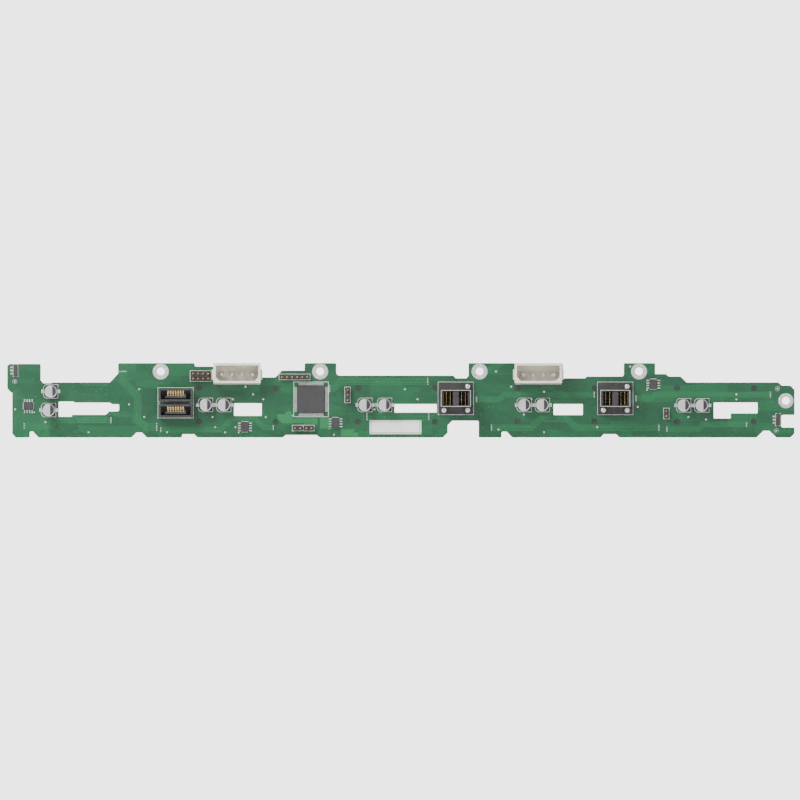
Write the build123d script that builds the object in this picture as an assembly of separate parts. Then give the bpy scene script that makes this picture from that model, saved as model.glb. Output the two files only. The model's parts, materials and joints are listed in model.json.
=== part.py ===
from build123d import *
import math
import os

# Drive backplane board for a flat server chassis: ten small drives plug into
# the back in five columns of two, and the cables plug into the front.
# Frame: +X runs along the board, +Z is up, and the cable side faces -Y.
# The origin is the middle of the line of four chassis screws, on the cable face.
# All sizes are in millimetres.

# Spacing of the drive bays
bay_pitch = 80.0
bay_shift = -1.65
upper_row = -8.4
row_pitch = 16.8
peg_pitch = 38.5

# Circuit board
board_thickness = 1.6
tab_top = 4.18
edge_below_row = 7.94
corner_radius = 0.75
vent_corner_radius = 0.4
screw_hole_radius = 2.0
end_screw_offset = 35.35
end_screw_rise = 2.1
notch_above_row = 3.35
notch_below_row = 2.93

# Clearances
hole_clearance = 0.1
press_clearance = 0.03
tail_reach = 1.3
tip_recess = 0.3
moulded_chamfer = 0.25

# Four-way power sockets
power_pitch = 5.08
power_length = 23.8
power_width = 10.14
power_height = 11.5
power_wall = 1.2
power_pin_count = 4
power_floor = 2.2
power_key = 1.9
power_pin_radius = 1.05
power_tail_radius = 0.75
power_pin_drop = 0.7
power_pin_recess = 1.8
power_lug_width = 0.8
power_lug_length = 5.2
power_lug_height = 6.0
power_rise = -0.88
power_left_offset = -0.05
power_right_offset = -8.85

# Pin headers
header_pitch = 2.54
header_base_height = 2.5
header_pin_width = 0.64
header_pin_height = 8.6
header_notch = 0.35
header_gap = 0.52
sideband_column_count = 4
sideband_row_count = 2
program_pin_count = 6
mode_pin_count = 3
jumper_pin_count = 2

# Seven-contact data sockets
data_length = 17.26
data_width = 6.67
data_height = 8.4
data_wall = 1.1
data_floor = 2.0
data_pitch = 1.27
data_count = 7
data_contact_width = 0.84
data_contact_thickness = 0.25
data_tongue_length = 10.4
data_tongue_thickness = 1.15
data_tongue_drop = 0.45
data_tongue_recess = 0.8
data_hook = 0.9
data_peg_radius = 1.15
data_peg_pitch = 12.8
data_mark_depth = 0.25
data_stack_pitch = 8.0
data_offset = -30.85

# Thirty-six-contact cable ports
port_length = 17.7
port_width = 16.0
port_lug_width = 0.95
port_lug_length = 4.1
port_flange = 1.6
port_height = 13.5
port_shell_length = 15.0
port_shell_width = 8.4
port_shell_wall = 0.35
port_core_recess = 0.8
port_row_pitch = 3.79
port_contact_pitch = 0.75
port_contact_count = 9
port_contact_width = 0.3
port_contact_thickness = 0.2
port_slot_width = 4.5
port_slot_length = 7.0
port_slot_floor = 2.6
port_card_gap = 0.6
port_tail_stagger = 0.83
port_post_radius = 1.6
port_post_offset = 5.95
port_post_height = 4.6
port_peg_length = 1.2
port_relief = 0.7
port_offset = 29.75
port_drop = 5.1

# Chips
controller_size = 14.0
controller_span = 16.0
controller_height = 1.5
controller_pitch = 0.5
controller_side_count = 25
controller_offset = 37.1
controller_drop = 5.6
chip_length = 4.9
chip_width = 3.9
chip_span = 6.0
chip_height = 1.55
chip_pitch = 1.27
chip_side_count = 4
chip_standoff = 0.12
chip_edge_chamfer = 0.25
fine_lead_width = 0.22
chip_lead_width = 0.42
lead_thickness = 0.15
lead_foot = 0.6

# Aluminium can capacitors
can_radius = 3.15
can_height = 6.2
can_groove = 0.35
can_groove_rise = 1.3
cap_base_size = 6.6
cap_base_height = 1.1
cap_base_corner = 1.8
cap_lead_span = 8.4
cap_lead_width = 0.9
cap_lead_thickness = 0.2

# Three-lead sensors at the ends of the board
sensor_length = 6.3
sensor_width = 2.0
sensor_height = 1.1
sensor_pitch = 1.6
sensor_lead_reach = 1.3
sensor_lead_width = 0.5

# Drive sockets on the far side
drive_length = 42.8
drive_above_pegs = 1.4
drive_below_pegs = 4.2
drive_height = 8.0
drive_horn_length = 3.4
drive_horn_height = 9.6
drive_slot_length = 34.0
drive_slot_width = 2.9
drive_slot_drop = 1.4
drive_slot_floor = 1.6
drive_peg_radius = 1.25
drive_pitch = 1.27
drive_contact_width = 0.7
drive_contact_thickness = 0.2
drive_contact_recess = 1.2
drive_signal_count = 7
drive_power_count = 15
drive_signal_start = 7.98
drive_power_start = -15.58
drive_fine_pitch = 0.8
drive_fine_count = 7
drive_fine_centre = 5.1
drive_fine_width = 0.4
drive_foot_reach = 0.7
drive_foot_relief = 0.35

# Small parts on the far side
led_length = 2.0
led_width = 1.25
led_height = 0.8
led_offset = -27.5
led_spacing = 3.0
chip_cap_length = 1.6
chip_cap_width = 0.8
chip_cap_count = 6
chip_cap_pitch = 1.7
chip_cap_offset = -16.0
resistor_length = 1.6
resistor_width = 0.8
resistor_height = 0.45

# Blank label
label_length = 25.4
label_width = 6.3
label_thickness = 0.1
label_corner = 0.9
label_drop = 2.8

# Rows, edges and columns worked out from the sizes above
lower_row = upper_row - row_pitch
mid_row = (upper_row + lower_row) / 2
bottom_edge = lower_row - edge_below_row
screw_columns = [-1.5 * bay_pitch, -0.5 * bay_pitch, 0.5 * bay_pitch, 1.5 * bay_pitch]
bays = {"far_left": -2, "left": -1, "middle": 0, "right": 1, "far_right": 2}


def bay_x(bay, offset=0.0):
    """Place along the board, measured from the centre of a bay."""
    return bay_shift + bays[bay] * bay_pitch + offset


# The board's tab under the left power socket is as long as its housing
power_tab = (power_left_offset - power_length / 2, power_left_offset + power_length / 2)

# Board edge along the top, bay by bay from the left: distance from the bay's
# centre, height above the screw line, and the corner's radius where it has one.
top_edge = {
    "far_left": [
        (-35.38, 2.79), (-34.22, 3.78), (-18.55, 3.78, corner_radius), (-18.55, -4.54), (-17.22, -5.9),
        (-13.4, -5.9), (-12.4, -5.52), (16.03, -5.52), (20.27, -1.03), (20.27, tab_top, corner_radius),
    ],
    "left": [
        (-21.49, tab_top), (-21.09, 2.48), (power_tab[0], 2.48), (power_tab[0], tab_top),
        (power_tab[1], tab_top), (power_tab[1], -2.96), (19.15, -2.96), (22.46, 0.43), (33.85, 0.43),
        (33.85, tab_top, corner_radius),
    ],
    "middle": [
        (-30.24, tab_top, corner_radius), (-30.24, -0.98), (-29.09, -2.08), (28.57, -2.08),
        (29.68, -3.39), (35.1, -3.39), (36.1, -2.03), (36.1, tab_top, corner_radius / 2),
    ],
    "right": [
        (3.4, tab_top, corner_radius), (3.4, -3.39), (14.56, -3.39), (15.41, -2.53),
        (33.28, -2.53), (34.03, -1.78), (34.03, tab_top, corner_radius / 2),
    ],
    "far_right": [
        (-30.21, tab_top, corner_radius / 2), (-30.21, -1.28), (-24.94, -1.28), (-23.39, -2.53),
        (-17.47, -2.53), (-14.41, -5.5), (31.71, -5.5), (33.26, -7.1), (37.68, -7.1), (39.69, -9.16),
    ],
}

# Board edge along the bottom, bay by bay from the right: distance from the bay's
# centre, height above the lowest edge, and the corner's radius where it has one.
bottom_edges = {
    "far_right": [(39.69, 2.05), (37.68, 0), (30.55, 0), (27.04, 3.34), (24.08, 3.34), (20.67, 0)],
    "right": [
        (31.82, 0), (30.12, 1.63), (23.94, 1.63), (22.44, 0), (-21.97, 0), (-24.78, 2.91),
        (-27.34, 2.91, corner_radius), (-27.34, 0, corner_radius / 2),
        (-38.78, 0, corner_radius / 2), (-38.78, 8.37, corner_radius),
    ],
    "middle": [
        (27.92, 8.37), (25.66, 6.12), (25.66, 2.4), (23.3, 0), (-38.52, 0), (-40.13, 1.22),
    ],
    "left": [(24.47, 1.22), (22.71, 0), (-19.94, 0), (-21.55, 1.63), (-27.42, 1.63), (-27.87, 0)],
    "far_left": [
        (34.62, 0), (32.16, 2.51), (29.5, 2.51), (27.04, 0), (-19.68, 0), (-22.59, 3.06),
        (-24.09, 3.06, corner_radius), (-24.09, 0), (-31.21, 0), (-32.87, 2.0),
    ],
}

# Left end of the board: distance from the first bay's centre, height above the screw line
left_end = [(-32.87, -10.61), (-33.52, -10.61), (-35.38, -8.46)]

# Air openings: distance from the bay's centre, height above the middle between the rows
vents = {
    "far_left": [
        (-9.55, -5.9), (-9.55, 1.67), (-2.35, 1.67), (-1.35, 1.12), (16.05, 1.12), (17.2, 0.32),
        (20.75, 0.32), (20.75, -2.8), (19.95, -3.25), (15.75, -3.25), (14.0, -4.95), (-2.95, -4.95),
        (-2.95, -5.9),
    ],
    "left": [(-1.55, -5.46), (-1.55, 0.82), (12.35, 0.82), (12.35, -5.46)],
    "middle": [(-1.05, -3.8), (-1.05, 0.42), (20.15, 0.42), (20.15, -3.8)],
    "right": [(-1.25, -5.05), (-1.25, 0.42), (13.45, 0.42), (13.45, -5.05)],
    "far_right": [
        (-0.85, -6.76), (-0.85, 1.2), (21.15, 1.2), (21.15, -4.2), (7.65, -4.2), (7.65, -6.76),
    ],
}

# Capacitor places: distance from the bay's centre, height above the middle between the rows
capacitor_places = {
    "far_left": [(-13.58, 6.79), (-14.64, -2.55)],
    "left": [(-15.87, 0), (-6.74, 0)],
    "middle": [(-15.89, 0), (-6.0, 0)],
    "right": [(-15.96, 0), (-6.83, 0)],
    "far_right": [(-15.96, -0.2), (-6.83, -0.2)],
}


def cable_side(x, z):
    """Place on the cable face: a part's own z points out of the board, its y up."""
    return Plane(origin=(x, 0, z), x_dir=(1, 0, 0), z_dir=(0, -1, 0)).location


def drive_side(x, z):
    """Place on the drive face: a part's own z points out of the board, its y up."""
    return Plane(origin=(x, board_thickness, z), x_dir=(-1, 0, 0), z_dir=(0, 1, 0)).location


def block(x_range, y_range, z_range):
    """Box between two corners."""
    size = [high - low for low, high in (x_range, y_range, z_range)]
    centre = [(low + high) / 2 for low, high in (x_range, y_range, z_range)]
    return Pos(*centre) * Box(*size)


def around(centre, size):
    """Range of a given size about a centre."""
    return (centre - size / 2, centre + size / 2)


def row(count, pitch, centre=0.0):
    """Evenly spaced places about a centre."""
    return [centre + (index - (count - 1) / 2) * pitch for index in range(count)]


def bent_strip(path, thickness, width):
    """Strip of sheet metal that follows a path of (x, z) points, centred on y."""
    near, far = [], []
    for index, (x, z) in enumerate(path):
        before = path[max(index - 1, 0)]
        after = path[min(index + 1, len(path) - 1)]
        into = math.atan2(z - before[1], x - before[0]) if index > 0 else None
        out_of = math.atan2(after[1] - z, after[0] - x) if index < len(path) - 1 else into
        into = out_of if into is None else into
        turn = math.remainder(out_of - into, math.tau)
        normal = into + turn / 2 + math.pi / 2
        reach = thickness / 2 / math.cos(turn / 2)
        near.append((x + reach * math.cos(normal), z + reach * math.sin(normal)))
        far.append((x - reach * math.cos(normal), z - reach * math.sin(normal)))
    outline = make_face(Polyline(*near, *reversed(far), close=True))
    return extrude(Plane.XZ * outline, width / 2, both=True)


def save(name, solids):
    """Write one sub-part, as one solid or as a group of separate solids."""
    shape = solids[0] if len(solids) == 1 else Compound(children=list(solids))
    shape.label = name
    export_step(shape, f"parts/{name}.step")


def rounded_wire(points):
    """Closed outline through points that may carry a corner radius."""
    radii = [point[2] if len(point) > 2 else 0 for point in points]
    return Wire(FilletPolyline(*[point[:2] for point in points], radius=radii, close=True).edges())


def circle_wire(x, z, radius):
    return Wire(Edge.make_circle(radius, Plane(origin=(x, z, 0))))


def board_outline():
    """The whole board edge, clockwise from its upper left corner."""
    points = []
    for bay, edge in top_edge.items():
        points += [(bay_x(bay, x), z, *radius) for x, z, *radius in edge]
    notch_x = bay_x("far_right", 33.11)
    end_x = bay_x("far_right", 39.69)
    points += [
        (end_x, lower_row + notch_above_row),
        (notch_x, lower_row + notch_above_row, corner_radius),
        (notch_x, lower_row - notch_below_row, corner_radius),
        (end_x, lower_row - notch_below_row),
    ]
    for bay, edge in bottom_edges.items():
        points += [(bay_x(bay, x), bottom_edge + rise, *radius) for x, rise, *radius in edge]
    points += [(bay_x("far_left", x), z) for x, z in left_end]
    return rounded_wire(points)


def power_places():
    return {
        "left": bay_x("left", power_left_offset),
        "right": bay_x("right", power_right_offset),
    }


def power_pin_places():
    return row(power_pin_count, power_pitch)


# The sideband header stands beside the lug of the left power socket
power_lug_end = bay_x("left", power_left_offset) - power_length / 2 - power_lug_width
sideband_x = power_lug_end - header_gap - sideband_column_count * header_pitch / 2

# Pin headers: place of the middle of the pins, pins along X, pins along Z
headers = {
    "sideband_header": (sideband_x, -2.28, sideband_column_count, sideband_row_count),
    "program_header": (bay_x("left", 28.8), -2.73, program_pin_count, 1),
    "mode_jumper": (bay_x("middle", -24.6), upper_row - 3.35, 1, mode_pin_count),
    "address_jumper_left": (bay_x("left", 30.32), lower_row - 3.2, jumper_pin_count, 1),
    "address_jumper_right": (bay_x("left", 35.98), lower_row - 3.2, jumper_pin_count, 1),
    "reset_jumper": (bay_x("far_right", -24.6), mid_row - 4.3, 1, jumper_pin_count),
}


def header_pin_places(across, up):
    return [(x, y) for x in row(across, header_pitch) for y in row(up, header_pitch)]


def data_places():
    return {
        "upper": (bay_x("left", data_offset), mid_row + data_stack_pitch / 2 + 1.05),
        "lower": (bay_x("left", data_offset), mid_row - data_stack_pitch / 2 + 1.05),
    }


data_peg_places = [(-data_peg_pitch / 2, 0.88), (data_peg_pitch / 2, -0.17)]


def port_places():
    return {
        "left": (bay_x("middle", port_offset), upper_row - port_drop),
        "right": (bay_x("right", port_offset), upper_row - port_drop),
    }


port_post_places = [
    (port_post_offset, port_post_offset),
    (-port_post_offset, -port_post_offset),
    (port_post_offset, -port_post_offset),
]
port_tail_radius = math.hypot(port_contact_width, port_contact_thickness) / 2
port_peg_radius = port_post_radius - hole_clearance


def port_contact_rows():
    """Row centre, with the side of the card slot that the row stands on."""
    slot_centres = row(2, 2 * port_row_pitch)
    return [(slot, side) for slot in slot_centres for side in (-1, 1)]


def port_tail_places():
    """Where each contact's tail enters the board, from the port's centre."""
    places = []
    for slot, side in port_contact_rows():
        for index, y in enumerate(row(port_contact_count, -port_contact_pitch)):
            shift = (index % 3 - 1) * port_tail_stagger
            places.append((slot + side * port_row_pitch / 2 + shift, y))
    return places


def circuit_board():
    holes = [circle_wire(x, 0, screw_hole_radius) for x in screw_columns]
    holes.append(circle_wire(bay_x("far_right", end_screw_offset), mid_row + end_screw_rise, screw_hole_radius))
    for bay in list(bays)[1:]:
        for z in (upper_row, lower_row):
            holes += [circle_wire(bay_x(bay, x), z, drive_peg_radius + hole_clearance) for x in row(2, peg_pitch)]
    for centre in power_places().values():
        for x in power_pin_places():
            holes.append(circle_wire(centre + x, power_rise - power_pin_drop, power_tail_radius + hole_clearance))
    pin_radius = header_pin_width / math.sqrt(2) + hole_clearance / 2
    for centre_x, centre_z, across, up in headers.values():
        for x, y in header_pin_places(across, up):
            holes.append(circle_wire(centre_x + x, centre_z + y, pin_radius))
    for centre_x, centre_z in data_places().values():
        for x, y in data_peg_places:
            holes.append(circle_wire(centre_x + x, centre_z + y, data_peg_radius + hole_clearance))
    for centre_x, centre_z in port_places().values():
        for x, y in port_post_places:
            holes.append(circle_wire(centre_x + x, centre_z + y, port_post_radius))
        for x, y in port_tail_places():
            holes.append(circle_wire(centre_x + x, centre_z + y, port_tail_radius + hole_clearance / 2))
    for bay, points in vents.items():
        corners = [(bay_x(bay, x), mid_row + y, vent_corner_radius) for x, y in points]
        holes.append(rounded_wire(corners))
    face = Face(board_outline(), holes)
    upright = Plane(origin=(0, 0, 0), x_dir=(1, 0, 0), z_dir=(0, -1, 0)).location
    return upright * extrude(face, -board_thickness, dir=(0, 0, 1))


def power_housing():
    """Open shroud with two cut corners that key the plug."""
    half_length = power_length / 2
    half_width = power_width / 2
    shroud = block((-half_length, half_length), (-half_width, half_width), (0, power_height))
    shroud = chamfer(shroud.edges().filter_by(Axis.Z), moulded_chamfer)
    inner_length = power_length - 2 * power_wall
    inner_width = power_width - 2 * power_wall
    cavity = block(around(0, inner_length), around(0, inner_width), (power_floor, power_height))
    key_edges = cavity.edges().filter_by(Axis.Z).sort_by(Axis.Y)[:2]
    shroud -= chamfer(key_edges, power_key)
    rim = shroud.faces().sort_by(Axis.Z)[-1].outer_wire().edges()
    shroud = chamfer(rim, power_wall / 4)
    lug_y = around(-power_pin_drop, power_lug_length)
    for side in (-1, 1):
        lug_x = sorted((side * half_length, side * (half_length + power_lug_width)))
        shroud += block(lug_x, lug_y, (0, power_lug_height))
    for x in power_pin_places():
        bore = Cylinder(power_pin_radius + press_clearance, power_floor)
        shroud -= Pos(x, -power_pin_drop, power_floor / 2) * bore
    return shroud


def power_pin():
    """Round pin with a tapered nose, and a thinner tail through the board."""
    top = power_height - power_pin_recess
    nose = power_pin_radius * 0.8
    tail = -(board_thickness + tail_reach)
    profile = make_face(Polyline(
        (0, tail),
        (power_tail_radius, tail),
        (power_tail_radius, 0),
        (power_pin_radius, 0),
        (power_pin_radius, top - nose),
        (power_pin_radius / 2, top),
        (0, top),
        close=True,
    ))
    return revolve(Plane.XZ * profile, Axis.Z)


def header_base(across, up):
    """Moulded strip with a notch on both edges between each pair of pins."""
    length = across * header_pitch
    width = up * header_pitch
    base = block(around(0, length), around(0, width), (0, header_base_height))
    notch = extrude(RegularPolygon(header_notch, 4, rotation=0), header_base_height)
    for x in row(across + 1, header_pitch):
        for side in (-1, 1):
            base -= Pos(x, side * width / 2) * notch
    for y in row(up + 1, header_pitch)[1:-1]:
        for side in (-1, 1):
            base -= Pos(side * length / 2, y) * notch
    bore_width = header_pin_width + 2 * press_clearance
    for x, y in header_pin_places(across, up):
        base -= block(around(x, bore_width), around(y, bore_width), (0, header_base_height))
    return base


def header_pin():
    tail = -(board_thickness + tail_reach)
    pin = block(around(0, header_pin_width), around(0, header_pin_width), (tail, header_pin_height))
    ends = pin.edges().group_by(Axis.Z)
    return chamfer(ends[0] + ends[-1], header_pin_width / 4)


def data_contact_places():
    return row(data_count, data_pitch)


def data_housing():
    """Shroud around a hooked tongue, with a well for each foot and a mould mark over each peg."""
    shroud = block(around(0, data_length), around(0, data_width), (0, data_height))
    shroud = chamfer(shroud.edges().filter_by(Axis.Z) + shroud.edges().group_by(Axis.Z)[-1], moulded_chamfer)
    inner_length = data_length - 2 * data_wall
    inner_width = data_width - 2 * data_wall
    cavity = block(around(0, inner_length), around(0, inner_width), (data_floor, data_height))
    tongue_top = data_height - data_tongue_recess
    tongue_y = (-data_tongue_drop - data_tongue_thickness, -data_tongue_drop)
    tongue = block(around(0, data_tongue_length), tongue_y, (data_floor, tongue_top))
    hook_x = (data_tongue_length / 2 - data_hook, data_tongue_length / 2)
    hook_y = (-data_tongue_drop, data_hook - data_tongue_drop)
    tongue += block(hook_x, hook_y, (data_floor, tongue_top))
    shroud -= cavity - tongue
    well_y = (-data_tongue_drop, inner_width / 2)
    for x in data_contact_places():
        shroud -= block(around(x, data_contact_width + hole_clearance), well_y, (0, data_floor))
    mark_radius = data_peg_radius - hole_clearance
    peg_length = board_thickness - tip_recess
    for x, y in data_peg_places:
        shroud -= Pos(x, y, data_floor - data_mark_depth / 2) * Cylinder(mark_radius, data_mark_depth)
        shroud += Pos(x, y, -peg_length / 2) * Cylinder(data_peg_radius, peg_length)
    return shroud


def data_contact():
    """Foot on the board, then a blade up the face of the tongue."""
    half = data_contact_thickness / 2
    blade = half - data_tongue_drop
    foot_end = (data_width - 2 * data_wall) / 2 - half
    top = data_height - data_tongue_recess - half
    strip = bent_strip([(foot_end, half), (blade, half), (blade, top)], data_contact_thickness, data_contact_width)
    return Rot(0, 0, 90) * strip


def port_base():
    """Flange and core of a cable port, with two card slots."""
    body_right = port_length / 2 - port_lug_width
    base = block((-port_length / 2, body_right), around(0, port_width), (0, port_flange))
    lug_x = (body_right, port_length / 2)
    half_width = port_width / 2
    base += block(lug_x, (half_width - port_lug_length, half_width), (0, port_flange))
    base += block(lug_x, (-half_width, port_lug_length - half_width), (0, port_flange))
    base = chamfer(base.edges().group_by(Axis.Z)[-1], moulded_chamfer)
    core_length = port_shell_length - 2 * (port_shell_wall + press_clearance)
    core_width = port_shell_width - 2 * (port_shell_wall + press_clearance)
    core_top = port_height - port_core_recess
    core = block(around(0, core_length), around(0, core_width), (port_flange, core_top))
    base += chamfer(core.edges().group_by(Axis.Z)[-1], moulded_chamfer)
    for x in row(2, 2 * port_row_pitch):
        slot_x = around(x, port_slot_width)
        base -= block(slot_x, around(0, port_slot_length), (port_slot_floor, core_top))
    relief_x = around(0, 3 * port_row_pitch + 2 * port_tail_stagger + 1)
    base -= block(relief_x, around(0, port_slot_length), (0, port_relief))
    for slot, side in port_contact_rows():
        window_x = around(slot + side * port_row_pitch / 2, 2 * port_contact_thickness)
        base -= block(window_x, around(0, port_slot_length), (port_relief, port_slot_floor))
    for x, y in port_post_places:
        base += Pos(x, y, port_post_height / 2) * Cylinder(port_post_radius, port_post_height)
        base += Pos(x, y, -port_peg_length / 2) * Cylinder(port_peg_radius, port_peg_length)
    return base


def port_shell():
    """Folded metal sleeve around the core, with two latch windows."""
    outer = block(around(0, port_shell_length), around(0, port_shell_width), (port_flange, port_height))
    outer = fillet(outer.edges().filter_by(Axis.Z), port_shell_wall)
    inner_length = port_shell_length - 2 * port_shell_wall
    inner_width = port_shell_width - 2 * port_shell_wall
    shell = outer - block(around(0, inner_length), around(0, inner_width), (port_flange, port_height))
    window_z = around(port_height * 0.72, port_height * 0.18)
    window_x = (port_shell_length / 2 - port_shell_wall, port_shell_length / 2)
    for y in row(2, port_shell_width / 2):
        shell -= block(window_x, around(y, port_shell_width / 5), window_z)
    return shell


def port_contact(side, shift):
    """Tail through the board, jog to its row, then a spring arm beside the card."""
    half = port_contact_thickness / 2
    stem = side * port_row_pitch / 2
    arm_top = port_height - port_core_recess - half
    arm_low = port_slot_floor + 0.4 * (arm_top - port_slot_floor)
    arm_high = port_slot_floor + 0.8 * (arm_top - port_slot_floor)
    jog = [(stem + shift, port_relief / 2)] if shift else []
    path = [
        (stem + shift, -(board_thickness + tail_reach / 2)),
        *jog,
        (stem, port_relief / 2),
        (stem, arm_low),
        (side * port_card_gap, arm_high),
        (side * (port_card_gap + 0.4), arm_top),
    ]
    return bent_strip(path, port_contact_thickness, port_contact_width)


def port_contacts():
    contacts = []
    for slot, side in port_contact_rows():
        for index, y in enumerate(row(port_contact_count, -port_contact_pitch)):
            shift = (index % 3 - 1) * port_tail_stagger
            contacts.append(Pos(slot, y) * port_contact(side, shift))
    return contacts


def chip_body(length, width, height):
    """Moulded package with bevelled edges and a dimple at its first lead."""
    body = block(around(0, length), around(0, width), (chip_standoff, height))
    body = chamfer(body.edges(), chip_edge_chamfer)
    dimple = Cylinder(chip_edge_chamfer, chip_edge_chamfer)
    corner = 3 * chip_edge_chamfer
    return body - Pos(corner - length / 2, corner - width / 2, height) * dimple


def gull_lead(body_width, span, height, width):
    """One lead that leaves a package's side and steps down to the board."""
    half = lead_thickness / 2
    middle = (chip_standoff + height) / 2
    foot_start = span / 2 - lead_foot
    path = [(body_width / 2, middle), (foot_start - half, middle), (foot_start, half), (span / 2, half)]
    return bent_strip(path, lead_thickness, width)


def controller_leads():
    lead = gull_lead(controller_size, controller_span, controller_height, fine_lead_width)
    side = [Pos(0, y) * lead for y in row(controller_side_count, controller_pitch)]
    return [Rot(0, 0, turn) * piece for turn in (0, 90, 180, 270) for piece in side]


def chip_leads():
    lead = gull_lead(chip_width, chip_span, chip_height, chip_lead_width)
    side = [Pos(0, y) * lead for y in row(chip_side_count, chip_pitch)]
    return [Rot(0, 0, turn) * piece for turn in (0, 180) for piece in side]


def capacitor_can():
    """Can with a rolled groove above its base and a rounded top edge."""
    low = cap_lead_thickness + cap_base_height
    high = low + can_height
    groove = low + can_groove_rise
    profile = make_face(Polyline(
        (0, low),
        (can_radius, low),
        (can_radius, groove - can_groove),
        (can_radius - can_groove, groove),
        (can_radius, groove + can_groove),
        (can_radius, high - can_groove),
        (can_radius - can_groove, high),
        (0, high),
        close=True,
    ))
    return revolve(Plane.XZ * profile, Axis.Z)


def capacitor_base():
    base = block(
        around(0, cap_base_size),
        around(0, cap_base_size),
        (cap_lead_thickness, cap_lead_thickness + cap_base_height),
    )
    left_edges = base.edges().filter_by(Axis.Z).sort_by(Axis.X)[:2]
    return chamfer(left_edges, cap_base_corner)


def capacitor_leads():
    inner = can_radius / 4
    leads = []
    for side in (-1, 1):
        lead_x = sorted((side * inner, side * cap_lead_span / 2))
        leads.append(block(lead_x, around(0, cap_lead_width), (0, cap_lead_thickness)))
    return leads


def sensor_body():
    body = block(around(0, sensor_width), around(0, sensor_length), (chip_standoff, sensor_height))
    return chamfer(body.edges().filter_by(Axis.Z, reverse=True), chip_edge_chamfer)


def sensor_leads():
    middle = sensor_height / 2
    half = lead_thickness / 2
    start = sensor_width / 2
    path = [
        (-start, middle),
        (-start - sensor_lead_reach / 3, middle),
        (-start - sensor_lead_reach / 2, half),
        (-start - sensor_lead_reach, half),
    ]
    lead = bent_strip(path, lead_thickness, sensor_lead_width)
    return [Pos(0, y) * lead for y in row(3, sensor_pitch)]


def drive_housing(pegged):
    """Drive socket: a long slot between two guide horns, with pegs into the board."""
    half_length = drive_length / 2
    body_y = (-drive_below_pegs, drive_above_pegs)
    housing = block((-half_length, half_length), body_y, (0, drive_height))
    housing = chamfer(housing.edges().group_by(Axis.Z)[-1], moulded_chamfer)
    for side in (-1, 1):
        horn_x = sorted((side * (half_length - drive_horn_length), side * half_length))
        horn = block(horn_x, body_y, (0, drive_horn_height))
        tip = horn.faces().sort_by(Axis.Z)[-1].edges()
        housing += chamfer(tip, 3 * moulded_chamfer)
    slot_y = around(-drive_slot_drop, drive_slot_width)
    housing -= block(around(0, drive_slot_length), slot_y, (drive_slot_floor, drive_height))
    slit = 2 * drive_contact_thickness
    contact_length = drive_slot_length - drive_contact_width
    housing -= block(around(0, contact_length), (slot_y[0], slot_y[0] + slit), (0, drive_slot_floor))
    housing -= block(around(0, contact_length), (-drive_below_pegs, slot_y[0] + slit), (0, drive_foot_relief))
    fine_length = (drive_fine_count + 1) * drive_fine_pitch
    fine_x = around(drive_fine_centre, fine_length)
    housing -= block(fine_x, (slot_y[1] - slit, slot_y[1]), (0, drive_slot_floor))
    housing -= block(fine_x, (slot_y[1] - slit, drive_above_pegs), (0, drive_foot_relief))
    if pegged:
        peg_length = board_thickness - tip_recess
        for x in row(2, peg_pitch):
            housing += Pos(x, 0, -peg_length / 2) * Cylinder(drive_peg_radius, peg_length)
    return housing


def drive_contact(wall_y, outside_y, width):
    """Foot beside the housing, then a spring blade up the wall of the slot."""
    half = drive_contact_thickness / 2
    outward = 1 if outside_y > wall_y else -1
    blade = wall_y - outward * (half + press_clearance)
    top = drive_height - drive_contact_recess
    bow = blade - outward * 2 * drive_contact_thickness
    path = [
        (outside_y + outward * drive_foot_reach, half),
        (blade, half),
        (blade, drive_slot_floor + half),
        (bow, (drive_slot_floor + 2 * top) / 3),
        (blade, top),
    ]
    return Rot(0, 0, 90) * bent_strip(path, drive_contact_thickness, width)


def drive_contacts():
    slot_low, slot_high = around(-drive_slot_drop, drive_slot_width)
    broad = drive_contact(slot_low, -drive_below_pegs, drive_contact_width)
    fine = drive_contact(slot_high, drive_above_pegs, drive_fine_width)
    signal = [drive_signal_start + index * drive_pitch for index in range(drive_signal_count)]
    power = [drive_power_start + index * drive_pitch for index in range(drive_power_count)]
    contacts = [Pos(x) * broad for x in signal + power]
    return contacts + [Pos(x) * fine for x in row(drive_fine_count, drive_fine_pitch, drive_fine_centre)]


def led():
    """Lens on a thin carrier."""
    carrier = block(around(0, led_width), around(0, led_length), (0, led_height / 2))
    lens = block(around(0, led_width), around(0, led_length * 0.6), (led_height / 2, led_height))
    return carrier + chamfer(lens.faces().sort_by(Axis.Z)[-1].edges(), led_height / 5)


def chip_part(length, width, height):
    """Small two-ended part with bevelled edges."""
    body = block(around(0, width), around(0, length), (0, height))
    return chamfer(body.edges(), height / 10)


def label():
    outline = RectangleRounded(label_length, label_width, label_corner)
    return extrude(outline, label_thickness)


os.makedirs("parts", exist_ok=True)
save("circuit_board", [circuit_board()])

housing = power_housing()
pin = power_pin()
for name, x in power_places().items():
    place = cable_side(x, power_rise)
    pins = [Pos(offset, -power_pin_drop) * pin for offset in power_pin_places()]
    save(f"power_socket_{name}_housing", [place * housing])
    save(f"power_socket_{name}_pins", [place * piece for piece in pins])

pin = header_pin()
for name, (x, z, across, up) in headers.items():
    place = cable_side(x, z)
    pins = [Pos(*offset) * pin for offset in header_pin_places(across, up)]
    save(f"{name}_base", [place * header_base(across, up)])
    save(f"{name}_pins", [place * piece for piece in pins])

housing = data_housing()
contact = data_contact()
for name, (x, z) in data_places().items():
    place = cable_side(x, z)
    contacts = [Pos(offset) * contact for offset in data_contact_places()]
    save(f"data_socket_{name}_housing", [place * housing])
    save(f"data_socket_{name}_contacts", [place * piece for piece in contacts])

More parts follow.
